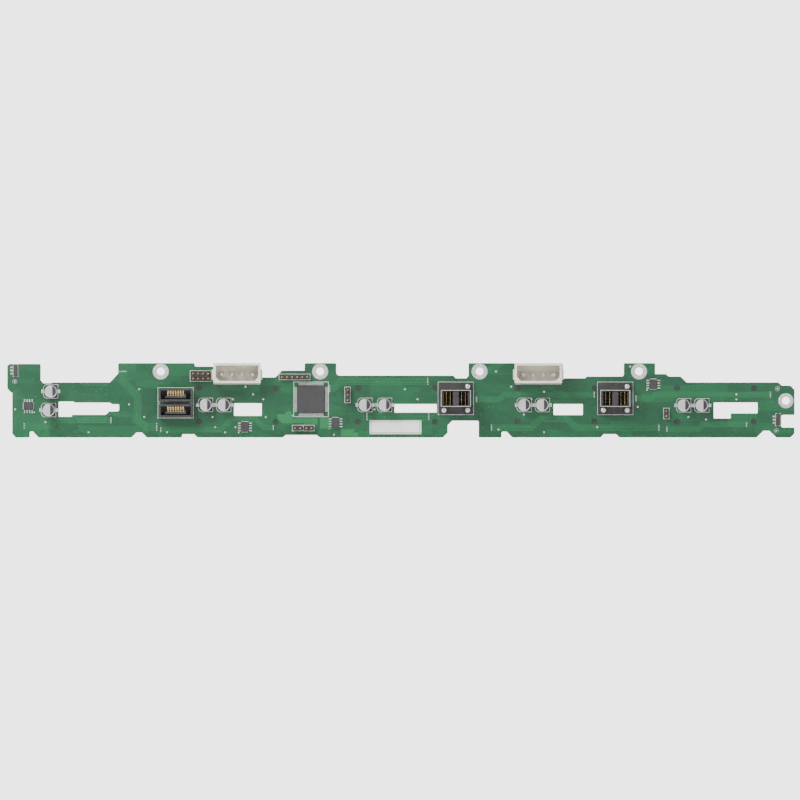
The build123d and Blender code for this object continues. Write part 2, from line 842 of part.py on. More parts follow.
base = port_base()
shell = port_shell()
contacts = port_contacts()
for name, (x, z) in port_places().items():
    place = cable_side(x, z)
    save(f"cable_port_{name}_base", [place * base])
    save(f"cable_port_{name}_shell", [place * shell])
    save(f"cable_port_{name}_contacts", [place * piece for piece in contacts])

place = cable_side(bay_x("left", controller_offset), upper_row - controller_drop)
save("controller_body", [place * Rot(0, 0, 90) * chip_body(controller_size, controller_size, controller_height)])
save("controller_leads", [place * piece for piece in controller_leads()])

# Eight-lead chips: place, and the turn that brings the first lead to its corner
chips = {
    "memory_chip_far_left": (bay_x("far_left", -24.75), mid_row - 0.54, 90),
    "memory_chip_left": (bay_x("left", 3.9), lower_row - 2.6, 0),
    "memory_chip_middle": (bay_x("middle", -30.65), lower_row - 0.5, 0),
    "memory_chip_right": (bay_x("far_right", -31.2), upper_row + 2.0, 0),
}
body = chip_body(chip_width, chip_length, chip_height)
leads = chip_leads()
all_leads = []
for name, (x, z, turn) in chips.items():
    place = cable_side(x, z) * Rot(0, 0, turn)
    save(name, [place * body])
    all_leads += [place * piece for piece in leads]
save("memory_chip_leads", all_leads)

sensor_places = {
    "edge_sensor_left": cable_side(bay_x("far_left", -31.2), 0.48),
    "edge_sensor_right": cable_side(bay_x("far_right", 31.4), lower_row + 1.0),
}
body = sensor_body()
for name, place in sensor_places.items():
    save(name, [place * body])
save("edge_sensor_leads", [place * piece for place in sensor_places.values() for piece in sensor_leads()])

can = capacitor_can()
base = capacitor_base()
leads = capacitor_leads()
places = [cable_side(bay_x(bay, x), mid_row + y) for bay in bays for x, y in capacitor_places[bay]]
save("capacitor_cans", [place * can for place in places])
save("capacitor_bases", [place * base for place in places])
save("capacitor_leads", [place * piece for place in places for piece in leads])

contacts = drive_contacts()
for bay in bays:
    housing = drive_housing(pegged=bay != "far_left")
    places = {"upper": drive_side(bay_x(bay), upper_row), "lower": drive_side(bay_x(bay), lower_row)}
    for level, place in places.items():
        save(f"drive_socket_{bay}_{level}", [place * housing])
    save(f"drive_contacts_{bay}", [place * piece for place in places.values() for piece in contacts])

rows = [(bay, z) for bay in bays for z in (upper_row, lower_row)]
light = led()
lights = [drive_side(bay_x(bay, led_offset), z + y) * light for bay, z in rows for y in row(2, led_spacing)]
save("status_leds", lights)

resistor = chip_part(resistor_length, resistor_width, resistor_height)
resistors = []
for bay, z in rows:
    for y in row(2, led_spacing):
        resistors.append(drive_side(bay_x(bay, led_offset - 2 * led_width), z + y) * resistor)
save("led_resistors", resistors)

coupler = chip_part(chip_cap_length, chip_cap_width, chip_cap_width)
couplers = []
for bay in bays:
    for z in (mid_row + 2.4, mid_row - 4.2):
        for x in row(chip_cap_count, chip_cap_pitch, chip_cap_offset):
            couplers.append(drive_side(bay_x(bay, x), z) * coupler)
save("coupling_capacitors", couplers)

save("blank_label", [cable_side(bay_x("middle", -0.55), lower_row - label_drop) * label()])
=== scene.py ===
import json
import math
import random

import bmesh
import bpy
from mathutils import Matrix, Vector

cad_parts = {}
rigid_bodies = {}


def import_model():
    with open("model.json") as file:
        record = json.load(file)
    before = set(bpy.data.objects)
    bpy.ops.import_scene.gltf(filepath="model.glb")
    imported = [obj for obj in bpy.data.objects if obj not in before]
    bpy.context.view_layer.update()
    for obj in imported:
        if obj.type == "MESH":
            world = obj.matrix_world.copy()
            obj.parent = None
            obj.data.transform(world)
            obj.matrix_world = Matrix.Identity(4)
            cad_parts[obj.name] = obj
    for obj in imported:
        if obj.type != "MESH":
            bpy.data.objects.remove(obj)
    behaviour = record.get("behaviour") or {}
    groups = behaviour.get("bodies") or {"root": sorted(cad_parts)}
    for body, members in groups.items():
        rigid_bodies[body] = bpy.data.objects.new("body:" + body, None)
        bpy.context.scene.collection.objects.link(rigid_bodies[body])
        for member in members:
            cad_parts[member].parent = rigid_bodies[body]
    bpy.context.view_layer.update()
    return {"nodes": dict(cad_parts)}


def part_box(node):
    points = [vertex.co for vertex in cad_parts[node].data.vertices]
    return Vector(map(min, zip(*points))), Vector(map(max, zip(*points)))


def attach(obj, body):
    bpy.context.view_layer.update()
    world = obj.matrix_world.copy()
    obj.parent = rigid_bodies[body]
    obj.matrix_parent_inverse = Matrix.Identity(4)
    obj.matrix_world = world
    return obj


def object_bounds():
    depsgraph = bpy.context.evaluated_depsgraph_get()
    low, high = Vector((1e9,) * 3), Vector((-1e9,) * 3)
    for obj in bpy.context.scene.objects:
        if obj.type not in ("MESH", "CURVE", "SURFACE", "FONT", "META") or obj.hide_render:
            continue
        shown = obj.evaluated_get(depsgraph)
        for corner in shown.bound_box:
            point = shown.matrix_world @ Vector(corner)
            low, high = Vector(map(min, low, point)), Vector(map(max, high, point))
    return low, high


# Looks of a drive backplane board, seen from its cable side. Places and sizes
# are in millimetres: X runs along the board, Z is up, and the cable side faces -Y.
MM = 0.001

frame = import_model()
nodes = frame["nodes"]

# Board
CABLE, DRIVE = -1, 1
board_thickness = 1.6
bay_centres = [-161.65, -81.65, -1.65, 78.35, 158.35]
upper_row, lower_row, mid_row = -8.4, -25.2, -16.8
left_edge, right_edge = -196.0, 197.0
bottom_edge, top_edge = -33.14, 4.0
screw_places = [(-120.0, 0.0), (-40.0, 0.0), (40.0, 0.0), (120.0, 0.0), (193.7, -14.7)]
screw_hole_radius = 2.0
screw_land_radius = 4.0
end_screw_land_radius = 3.75
placing_mark_places = [(-193.268, -5.043), (189.505, -8.606), (188.852, -29.782)]

# Heights on a face of the board: what is added starts a little below the surface
sink = 0.01
ink_height = 0.02
ink_line = 0.18
track_height = 0.02
track_width = 0.26
land_height = 0.03
copper_area_height = 0.035
plating_height = 0.04

# Parts on the cable side
power_places = [(-81.7, -1.58), (69.5, -1.58)]
power_pitch = 5.08
header_pitch = 2.54
# Each header: place of its middle, and its pins along X and along Z
headers = [
    (-100.0, -2.28, 4, 2), (-52.85, -2.73, 6, 1), (-26.25, -11.75, 1, 3), (-51.33, -28.4, 2, 1),
    (-45.67, -28.4, 2, 1), (133.75, -21.1, 1, 2),
]
first_pins = [
    (-89.32, -1.58), (61.88, -1.58), (-103.81, -1.01), (-46.5, -2.73), (-26.25, -14.29),
    (-52.6, -28.4), (-46.94, -28.4), (133.75, -22.37),
]
data_places = [(-112.5, -11.75), (-112.5, -19.75)]
port_places = [(28.1, -13.5), (108.1, -13.5)]
port_row_pitch = 3.79
port_tail_pitch = 0.75
port_tail_stagger = 0.83
port_post_reach = 5.95
port_post_top = 4.6
controller_place = (-44.55, -14.0)
controller_pitch = 0.5
chip_places = [(-77.75, -27.8), (-32.3, -25.7), (127.15, -6.4)]
turned_chip_place = (-186.4, -17.34)
chip_pitch = 1.27
sensor_places = [(-192.85, 0.48), (189.75, -24.2)]
sensor_pitch = 1.6
capacitor_places = [
    (-175.23, -10.01), (-176.29, -19.35), (-97.52, -16.8), (-88.39, -16.8), (-17.54, -16.8),
    (-7.65, -16.8), (62.39, -16.8), (71.52, -16.8), (142.39, -17.0), (151.52, -17.0),
]
can_top = 7.5
label_place = (-2.2, -28.0)
label_size = (25.4, 6.3)

# Parts on the drive side, measured from a bay's centre and a socket's row
drive_pitch = 1.27
drive_power_start = -15.58
drive_signal_start = 7.98
drive_fine_centre = 5.1
drive_fine_pitch = 0.8
light_shift = -27.5
resistor_shift = -30.0
light_rises = (-1.5, 1.5)
line_capacitor_rows = (mid_row + 2.4, mid_row - 4.2)
line_capacitor_shift = -16.0
line_capacitor_pitch = 1.7


# Shader nodes
class Graph:
    """Adds nodes to one node tree and joins them."""

    def __init__(self, tree):
        self.tree = tree

    def add(self, kind, inputs=None, **settings):
        node = self.tree.nodes.new(kind)
        for key, value in settings.items():
            setattr(node, key, value)
        for key, value in (inputs or {}).items():
            self.feed(node.inputs[key], value)
        return node

    def feed(self, socket, value):
        if isinstance(value, bpy.types.NodeSocket):
            self.tree.links.new(value, socket)
        else:
            socket.default_value = value

    def math(self, operation, first, second=0.0, clamp=False):
        inputs = {0: first, 1: second}
        return self.add("ShaderNodeMath", inputs, operation=operation, use_clamp=clamp).outputs[0]

    def noise(self, vector, scale, detail=3.0, roughness=0.55):
        inputs = {"Vector": vector, "Scale": scale, "Detail": detail, "Roughness": roughness}
        return self.add("ShaderNodeTexNoise", inputs).outputs["Fac"]

    def span(self, value, low, high, out_low=0.0, out_high=1.0):
        """Value between two bounds, spread over another range."""
        inputs = {"Value": value, "From Min": low, "From Max": high, "To Min": out_low, "To Max": out_high}
        return self.add("ShaderNodeMapRange", inputs).outputs["Result"]

    def mix(self, factor, first, second):
        node = self.add("ShaderNodeMix", data_type="RGBA", blend_type="MIX")
        for index, value in ((0, factor), (6, first), (7, second)):
            self.feed(node.inputs[index], value)
        return node.outputs[2]

    def stretch(self, vector, amounts):
        return self.add("ShaderNodeVectorMath", {0: vector, 1: amounts}, operation="MULTIPLY").outputs[0]

    def split(self, vector):
        return self.add("ShaderNodeSeparateXYZ", {0: vector}).outputs

    def place(self):
        return self.add("ShaderNodeTexCoord").outputs["Object"]

    def facing(self):
        return self.add("ShaderNodeNewGeometry").outputs["Normal"]

    def group(self, tree, **inputs):
        node = self.add("ShaderNodeGroup", node_tree=tree)
        for name, value in inputs.items():
            self.feed(node.inputs[name.replace("_", " ").capitalize()], value)
        return node.outputs


def new_group(name, inputs, outputs):
    """Empty shader group with named sockets; gives its graph, its input sockets and its output node."""
    tree = bpy.data.node_groups.new(name, "ShaderNodeTree")
    for label, kind, value in inputs:
        socket = tree.interface.new_socket(label, in_out="INPUT", socket_type=f"NodeSocket{kind}")
        if kind == "Float":
            socket.default_value = value
    for label, kind in outputs:
        tree.interface.new_socket(label, in_out="OUTPUT", socket_type=f"NodeSocket{kind}")
    graph = Graph(tree)
    return graph, graph.add("NodeGroupInput").outputs, graph.add("NodeGroupOutput").inputs


def moulded_skin_group():
    """Spark-eroded mould texture with a slow change of tone from the melt's flow."""
    graph, given, out = new_group(
        "Moulded skin",
        [("Place", "Vector", None), ("Grain", "Float", 4000.0)],
        [("Height", "Float"), ("Tone", "Float")],
    )
    fine = graph.noise(given["Place"], given["Grain"], 2.0)
    flow = graph.noise(given["Place"], graph.math("MULTIPLY", given["Grain"], 0.06), 3.0)
    graph.feed(out["Height"], graph.math("ADD", fine, graph.math("MULTIPLY", flow, 0.6)))
    tone = graph.math("ADD", flow, graph.math("MULTIPLY", fine, 0.25))
    graph.feed(out["Tone"], graph.span(tone, 0.4, 0.85))
    return graph.tree


def rolled_streaks_group():
    """Fine streaks that the rolls or the die leave on sheet metal."""
    graph, given, out = new_group(
        "Rolled streaks",
        [("Place", "Vector", None), ("Along", "Vector", None), ("Scale", "Float", 3000.0)],
        [("Height", "Float"), ("Tone", "Float")],
    )
    streaks = graph.noise(graph.stretch(given["Place"], given["Along"]), given["Scale"], 5.0, 0.65)
    clouds = graph.noise(given["Place"], graph.math("MULTIPLY", given["Scale"], 0.1), 2.0)
    graph.feed(out["Height"], streaks)
    tone = graph.math("ADD", streaks, graph.math("MULTIPLY", clouds, 0.5))
    graph.feed(out["Tone"], graph.span(tone, 0.45, 1.05))
    return graph.tree


def soft_edges_group():
    """Rounds the shading of sharp edges, and masks a broken line along them where a highlight is painted
    into the colour.
    """
    graph, given, out = new_group(
        "Soft edges",
        [("Radius", "Float", 0.0001), ("Place", "Vector", None), ("Wear", "Float", 0.5)],
        [("Normal", "Vector"), ("Mask", "Float")],
    )
    rounded = graph.add("ShaderNodeBevel", {"Radius": given["Radius"]}, samples=4).outputs[0]
    compare = graph.add("ShaderNodeVectorMath", {0: rounded, 1: graph.facing()}, operation="DOT_PRODUCT")
    edge = graph.span(compare.outputs["Value"], 0.995, 0.9)
    broken = graph.span(graph.noise(given["Place"], 1500.0, 4.0), 0.4, 0.62)
    graph.feed(out["Normal"], rounded)
    # Mask of the painted highlight: the colour is made lighter along edges, broken into patches by noise
    painted_edge_highlight = graph.math("MULTIPLY", edge, broken)
    graph.feed(out["Mask"], graph.math("MULTIPLY", painted_edge_highlight, given["Wear"], clamp=True))
    return graph.tree


def settled_dust_group():
    """Thin dust on faces that look up."""
    graph, given, out = new_group(
        "Settled dust",
        [("Place", "Vector", None), ("Amount", "Float", 0.3)],
        [("Mask", "Float")],
    )
    upward = graph.span(graph.split(graph.facing())["Z"], 0.35, 1.0)
    drift = graph.span(graph.noise(given["Place"], 2200.0, 5.0, 0.75), 0.3, 0.8)
    settled = graph.math("MULTIPLY", upward, drift)
    graph.feed(out["Mask"], graph.math("MULTIPLY", settled, given["Amount"], clamp=True))
    return graph.tree


moulded_skin = moulded_skin_group()
rolled_streaks = rolled_streaks_group()
soft_edges = soft_edges_group()
settled_dust = settled_dust_group()

dust_colour = (0.42, 0.4, 0.36, 1)
dust_on_plastic = 0.1
dust_on_metal = 0.05
solder_colour = (0.7, 0.7, 0.68, 1)


# Materials
def new_material(name):
    """Material with one Principled shader; gives its graph and that shader."""
    material = bpy.data.materials.new(name)
    material.use_nodes = True
    graph = Graph(material.node_tree)
    return material, graph, material.node_tree.nodes["Principled BSDF"]


def set_values(shader, **values):
    """Values that are the same all over the surface."""
    for name, value in values.items():
        shader.inputs[name.replace("_", " ").title().replace("Ior", "IOR")].default_value = value


def bump(graph, height, distance, normal=None):
    """Normal of a surface whose grain stands that many millimetres high."""
    node = graph.add("ShaderNodeBump", {"Height": height, "Strength": 1.0, "Distance": distance * MM})
    if normal is not None:
        graph.feed(node.inputs["Normal"], normal)
    return node.outputs[0]


def moulded_material(name, dark, light, grain, rough, edge_radius, wear, edge_highlight_colour):
    """Moulded plastic: grain, tone of the melt, rounded edges with a painted highlight along them, dust on
    top.
    """
    material, graph, shader = new_material(name)
    place = graph.place()
    skin = graph.group(moulded_skin, place=place, grain=grain)
    edges = graph.group(soft_edges, radius=edge_radius * MM, place=place, wear=wear)
    colour = graph.mix(skin["Tone"], dark, light)
    # Painted highlight: the edges are mixed towards a lighter colour
    colour = graph.mix(edges["Mask"], colour, edge_highlight_colour)
    dusty = graph.group(settled_dust, place=place, amount=dust_on_plastic)["Mask"]
    colour = graph.mix(dusty, colour, dust_colour)
    graph.feed(shader.inputs["Base Color"], colour)
    graph.feed(shader.inputs["Roughness"], graph.span(skin["Tone"], 0, 1, rough[0], rough[1]))
    graph.feed(shader.inputs["Normal"], bump(graph, skin["Height"], 0.01, edges["Normal"]))
    return material


def metal_material(name, dark, light, along, scale, rough, edge_radius, depth=0.003):
    """Bare or plated metal with streaks, a change of tone and a painted highlight along the edges."""
    material, graph, shader = new_material(name)
    place = graph.place()
    streaks = graph.group(rolled_streaks, place=place, along=along, scale=scale)
    edges = graph.group(soft_edges, radius=edge_radius * MM, place=place, wear=0.8)
    colour = graph.mix(streaks["Tone"], dark, light)
    # Painted highlight: the edges are mixed towards the light tone of the metal
    colour = graph.mix(edges["Mask"], colour, light)
    dusty = graph.group(settled_dust, place=place, amount=dust_on_metal)["Mask"]
    colour = graph.mix(dusty, colour, dust_colour)
    graph.feed(shader.inputs["Base Color"], colour)
    graph.feed(shader.inputs["Metallic"], graph.math("SUBTRACT", 1.0, dusty))
    graph.feed(shader.inputs["Roughness"], graph.span(streaks["Tone"], 0, 1, rough[1], rough[0]))
    graph.feed(shader.inputs["Normal"], bump(graph, streaks["Height"], depth, edges["Normal"]))
    return material


def solder_mask_material():
    """Green mask over routed copper, with the pale glass laminate bare at the cut edges."""
    material, graph, shader = new_material("green_solder_mask")
    place = graph.place()
    x, y, z = (graph.math("MULTIPLY", axis, 1 / MM) for axis in graph.split(place))
    on_face = graph.span(graph.math("ABSOLUTE", graph.split(graph.facing())["Y"]), 0.4, 0.6)

    # Square patches of the board: level, crossed or upright tracks, or a full pour
    tile = graph.add(
        "ShaderNodeTexVoronoi",
        {"Vector": graph.stretch(place, (0.45, 1.0, 1.3)), "Scale": 150.0, "Randomness": 0.8},
        distance="CHEBYCHEV", feature="F1",
    )
    kind = graph.split(tile.outputs["Color"])["X"]

    def tracks(across):
        """Even tracks side by side."""
        phase = graph.math("FRACT", graph.math("MULTIPLY", across, 2.1))
        wave = graph.math("ABSOLUTE", graph.math("SUBTRACT", phase, 0.5))
        return graph.span(wave, 0.22, 0.17)

    level = graph.math("MULTIPLY", tracks(z), graph.math("LESS_THAN", kind, 0.42))
    upright = graph.math("MULTIPLY", tracks(x), graph.math("GREATER_THAN", kind, 0.06))
    pour = graph.math("GREATER_THAN", kind, 0.75)
    copper = graph.math("MAXIMUM", graph.math("MAXIMUM", level, upright), pour)

    # Glass cloth under the mask
    cloth = graph.math(
        "MULTIPLY",
        graph.math("SINE", graph.math("MULTIPLY", x, 14.0)),
        graph.math("SINE", graph.math("MULTIPLY", z, 14.0)),
    )
    cloud = graph.noise(place, 60.0, 4.0)
    green = graph.mix(copper, (0.002, 0.05, 0.02, 1), (0.006, 0.095, 0.034, 1))
    green = graph.mix(graph.span(cloud, 0.35, 0.7, 0.0, 0.3), green, (0.001, 0.03, 0.012, 1))

    plies = graph.math("ADD", graph.math("MULTIPLY", y, 31.0), graph.noise(place, 800.0))
    layers = graph.math("SINE", plies)
    ragged = graph.noise(graph.stretch(place, (1, 6, 1)), 2500.0, 5.0, 0.7)
    laminate = graph.mix(graph.span(layers, -1, 1, 0.1, 0.7), (0.34, 0.31, 0.16, 1), (0.2, 0.2, 0.09, 1))
    laminate = graph.mix(graph.span(ragged, 0.45, 0.75), laminate, (0.5, 0.48, 0.33, 1))

    graph.feed(shader.inputs["Base Color"], graph.mix(on_face, laminate, green))
    speckle = graph.noise(place, 2600.0, 2.0)
    gloss = graph.math("ADD", graph.span(cloud, 0.3, 0.7, 0.2, 0.3), graph.math("MULTIPLY", speckle, 0.12))
    graph.feed(shader.inputs["Roughness"], graph.span(on_face, 0, 1, 0.85, gloss))
    face_height = graph.math("ADD", copper, graph.math("MULTIPLY", cloth, 0.1))
    face_height = graph.math("ADD", face_height, graph.math("MULTIPLY", speckle, 0.25))
    face_height = graph.math("MULTIPLY", face_height, on_face)
    height = graph.math("ADD", face_height, graph.math("MULTIPLY", ragged, 1.5))
    graph.feed(shader.inputs["Normal"], bump(graph, height, 0.012))
    return material


def covered_copper_material():
    """Mask over thick copper: a lighter, yellower green."""
    material, graph, shader = new_material("mask_over_copper")
    place = graph.place()
    cloud = graph.noise(place, 300.0, 4.0)
    speckle = graph.noise(place, 2600.0, 2.0)
    green = graph.mix(cloud, (0.009, 0.125, 0.043, 1), (0.016, 0.165, 0.055, 1))
    graph.feed(shader.inputs["Base Color"], green)
    graph.feed(shader.inputs["Roughness"], graph.span(speckle, 0.2, 0.8, 0.22, 0.36))
    graph.feed(shader.inputs["Normal"], bump(graph, speckle, 0.004))
    return material


def ink_material(name, colour, thin):
    """Screen-printed ink: a little broken where the screen's threads lay."""
    material, graph, shader = new_material(name)
    place = graph.place()
    threads = graph.noise(place, 3500.0, 3.0, 0.7)
    graph.feed(shader.inputs["Base Color"], graph.mix(graph.span(threads, 0.55, 0.75), colour, thin))
    graph.feed(shader.inputs["Roughness"], graph.span(threads, 0.3, 0.7, 0.5, 0.7))
    graph.feed(shader.inputs["Normal"], bump(graph, threads, 0.006))
    return material


def nearest(graph, value, centres):
    """Distance from a value to the nearest of some centres."""
    distances = [graph.math("ABSOLUTE", graph.math("SUBTRACT", value, centre)) for centre in centres]
    least = distances[0]
    for distance in distances[1:]:
        least = graph.math("MINIMUM", least, distance)
    return least


def chip_part_material(name, body_dark, body_light, centres, half_body):
    """Small two-ended part: fired body between tinned ends."""
    material, graph, shader = new_material(name)
    place = graph.place()
    z = graph.math("MULTIPLY", graph.split(place)["Z"], 1 / MM)
    wander = graph.math("MULTIPLY", graph.noise(place, 2500.0, 2.0), 0.08)
    away = graph.math("ADD", nearest(graph, z, centres), wander)
    tinned = graph.span(away, half_body + 0.02, half_body + 0.05)
    grain = graph.noise(place, 6000.0, 3.0)
    body = graph.mix(grain, body_dark, body_light)
    graph.feed(shader.inputs["Base Color"], graph.mix(tinned, body, solder_colour))
    graph.feed(shader.inputs["Metallic"], tinned)
    graph.feed(shader.inputs["Roughness"], graph.span(grain, 0.3, 0.7, 0.38, 0.55))
    graph.feed(shader.inputs["Normal"], bump(graph, grain, 0.006))
    return material


def light_lens_material():
    """Status light: clear lens with a hint of green over a white carrier."""
    material, graph, shader = new_material("light_lens")
    place = graph.place()
    y = graph.math("MULTIPLY", graph.split(place)["Y"], 1 / MM)
    lens = graph.span(y, board_thickness + 0.38, board_thickness + 0.42)
    grain = graph.noise(place, 3000.0, 3.0)
    tint = graph.mix(grain, (0.5, 0.62, 0.3, 1), (0.62, 0.7, 0.42, 1))
    carrier = graph.mix(grain, (0.72, 0.7, 0.62, 1), (0.8, 0.79, 0.74, 1))
    graph.feed(shader.inputs["Base Color"], graph.mix(lens, carrier, tint))
    graph.feed(shader.inputs["Roughness"], graph.span(lens, 0, 1, 0.5, 0.12))
    graph.feed(shader.inputs["Normal"], bump(graph, grain, 0.003))
    set_values(shader, coat_weight=0.3)
    return material


def label_material():
    """Blank paper label with a thin printed border."""
    material, graph, shader = new_material("blank_paper")
    place = graph.place()
    axes = graph.split(place)
    inside = []
    for axis, centre, size in zip("XZ", label_place, label_size):
        value = graph.math("MULTIPLY", axes[axis], 1 / MM)
        away = graph.math("ABSOLUTE", graph.math("SUBTRACT", value, centre))
        inside.append(graph.math("SUBTRACT", size / 2, away))
    depth = graph.math("MINIMUM", *inside)
    border = graph.math("MULTIPLY", graph.span(depth, 0.42, 0.46), graph.span(depth, 0.66, 0.62))
    fibre = graph.noise(graph.stretch(place, (1, 1, 3)), 1800.0, 5.0, 0.7)
    paper = graph.mix(fibre, (0.72, 0.71, 0.68, 1), (0.86, 0.86, 0.84, 1))
    graph.feed(shader.inputs["Base Color"], graph.mix(border, paper, (0.06, 0.06, 0.06, 1)))
    graph.feed(shader.inputs["Roughness"], graph.span(fibre, 0.3, 0.7, 0.55, 0.75))
    graph.feed(shader.inputs["Normal"], bump(graph, fibre, 0.006))
    return material


board_green = solder_mask_material()
mask_over_copper = covered_copper_material()
white_nylon = moulded_material(
    "white_nylon", dark=(0.62, 0.59, 0.5, 1), light=(0.76, 0.73, 0.64, 1), grain=3200.0,
    rough=(0.36, 0.5), edge_radius=0.15, wear=0.3, edge_highlight_colour=(0.82, 0.8, 0.74, 1))
black_plastic = moulded_material(
    "black_plastic", dark=(0.014, 0.014, 0.015, 1), light=(0.03, 0.03, 0.031, 1), grain=3800.0,
    rough=(0.42, 0.58), edge_radius=0.12, wear=0.5, edge_highlight_colour=(0.09, 0.09, 0.09, 1))
chip_plastic = moulded_material(
    "chip_plastic", dark=(0.02, 0.02, 0.022, 1), light=(0.029, 0.029, 0.031, 1), grain=7000.0,
    rough=(0.5, 0.66), edge_radius=0.08, wear=0.4, edge_highlight_colour=(0.1, 0.1, 0.1, 1))
gold_plate = metal_material(
    "gold_plate", dark=(0.78, 0.5, 0.18, 1), light=(0.95, 0.72, 0.36, 1),
    along=(1, 0.2, 1), scale=2500.0, rough=(0.16, 0.3), edge_radius=0.05)
tin_plate = metal_material(
    "tin_plate", dark=(0.55, 0.55, 0.54, 1), light=(0.78, 0.78, 0.77, 1),
    along=(1, 1, 1), scale=1800.0, rough=(0.26, 0.46), edge_radius=0.06)
port_steel = metal_material(
    "port_steel", dark=(0.5, 0.49, 0.47, 1), light=(0.72, 0.71, 0.69, 1),
    along=(0.06, 1, 1), scale=4000.0, rough=(0.22, 0.4), edge_radius=0.12)
can_aluminium = metal_material(
    "can_aluminium", dark=(0.62, 0.62, 0.64, 1), light=(0.84, 0.84, 0.86, 1),
    along=(1, 0.05, 1), scale=3500.0, rough=(0.24, 0.4), edge_radius=0.15)
bare_solder = metal_material(
    "bare_solder", dark=(0.58, 0.58, 0.57, 1), light=(0.82, 0.82, 0.81, 1),
    along=(1, 1, 1), scale=1200.0, rough=(0.18, 0.42), edge_radius=0.08, depth=0.02)
capacitor_ceramic = chip_part_material(
    "capacitor_ceramic", body_dark=(0.3, 0.19, 0.1, 1), body_light=(0.42, 0.29, 0.18, 1),
    centres=line_capacitor_rows, half_body=0.45)
resistor_ceramic = chip_part_material(
    "resistor_ceramic", body_dark=(0.015, 0.015, 0.016, 1), body_light=(0.04, 0.04, 0.042, 1),
    centres=[level + rise for level in (upper_row, lower_row) for rise in light_rises], half_body=0.5)
light_lens = light_lens_material()
blank_paper = label_material()
legend_ink = ink_material("legend_ink", colour=(0.8, 0.8, 0.77, 1), thin=(0.55, 0.6, 0.55, 1))
black_ink = ink_material("black_ink", colour=(0.015, 0.015, 0.017, 1), thin=(0.05, 0.05, 0.055, 1))

node_finishes = {
    "circuit_board": board_green,
    "blank_label": blank_paper,
    "status_leds": light_lens,
    "led_resistors": resistor_ceramic,
    "coupling_capacitors": capacitor_ceramic,
    "capacitor_cans": can_aluminium,
    "capacitor_bases": black_plastic,
    "capacitor_leads": tin_plate,
    "controller_body": chip_plastic,
    "controller_leads": tin_plate,
    "memory_chip_leads": tin_plate,
    "edge_sensor_left": chip_plastic,
    "edge_sensor_right": chip_plastic,
    "edge_sensor_leads": tin_plate,
}


def finish_for(name):
    """Finish of a CAD node, by its own name or by the kind of part it is."""
    if name in node_finishes:
        return node_finishes[name]
    if name.startswith("memory_chip"):
        return chip_plastic
    if name.startswith("power_socket"):
        return white_nylon if name.endswith("housing") else tin_plate
    if name.endswith("_shell"):
        return port_steel
    if name.endswith(("_contacts", "_pins")) or name.startswith("drive_contacts"):
        return gold_plate
    return black_plastic


for name, node in nodes.items():
    node.data.materials.clear()
    node.data.materials.append(finish_for(name))


# Modelling
def face_depth(side, rise=0.0):
    """Y of a height above one face of the board."""
    surface = board_thickness if side == DRIVE else 0.0
    return (surface + side * rise) * MM


def start_piece(name):
    """Opens a new empty mesh for modelling, with nothing else selected."""
    bpy.ops.object.select_all(action="DESELECT")
    piece = bpy.data.objects.new(name, bpy.data.meshes.new(name))
    bpy.context.scene.collection.objects.link(piece)
    bpy.context.view_layer.objects.active = piece
    piece.select_set(True)
    bpy.ops.object.mode_set(mode="EDIT")
    return piece


def finish_piece(piece, material, smooth=False):
    """Closes the mesh, turns its faces outwards, and gives it its finish and body."""
    bpy.ops.mesh.select_all(action="SELECT")
    bpy.ops.mesh.normals_make_consistent(inside=False)
    bpy.ops.object.mode_set(mode="OBJECT")
    if smooth:
        bpy.ops.object.shade_smooth_by_angle(angle=math.radians(40))
    piece.data.materials.append(material)
    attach(piece, "root")


def add_rectangle(side, x, z, width, height, rise=-sink):
    """Flat rectangle on one face of the board, with its normal outwards."""
    middle = (x * MM, face_depth(side, rise), z * MM)
    bpy.ops.mesh.primitive_plane_add(size=MM, location=middle, rotation=(-side * math.pi / 2, 0, 0))
    bpy.ops.transform.resize(value=(width, 1, height))


def add_disc(side, x, z, radius, corners=24, rise=-sink):
    bpy.ops.mesh.primitive_circle_add(
        vertices=corners, radius=radius * MM, fill_type="NGON",
        location=(x * MM, face_depth(side, rise), z * MM), rotation=(-side * math.pi / 2, 0, 0))


def cut_middle(width):
    """Leaves only a band of that width along the edge of the selected face."""
    bpy.ops.mesh.inset(thickness=width * MM)
    bpy.ops.mesh.delete(type="FACE")


def add_frame(side, x, z, width, height, band):
    add_rectangle(side, x, z, width, height)
    cut_middle(band)


def add_ring(side, x, z, radius, width, corners):
    add_disc(side, x, z, radius, corners)
    cut_middle(width)


def add_polygon(side, points):
    """Flat face through places on one side of the board, drawn corner by corner."""
    mesh = bpy.context.edit_object.data
    drawing = bmesh.from_edit_mesh(mesh)
    for old in drawing.verts:
        old.select = False
    depth = face_depth(side, -sink)
    corners = [drawing.verts.new((x * MM, depth, z * MM)) for x, z in points]
    drawing.faces.new(corners).select = True
    drawing.select_flush(True)
    bmesh.update_edit_mesh(mesh)


def add_strip(side, points, width):
    """Strip of even width through places on one face, mitred where it bends."""
    places = [Vector(point) for point in points]
    normals = [(stop - start).normalized().orthogonal() for start, stop in zip(places, places[1:])]
    left, right = [], []
    for index, place in enumerate(places):
        before = normals[max(index - 1, 0)]
        after = normals[min(index, len(normals) - 1)]
        offset = (before + after) * (width / 2) / (1 + before.dot(after))
        left.append(place + offset)
        right.append(place - offset)
    add_polygon(side, left + right[::-1])


def extrude_out(side, height):
    """Raises what is selected out of the board."""
    bpy.ops.mesh.extrude_region_move(TRANSFORM_OT_translate={"value": (0, side * height * MM, 0)})


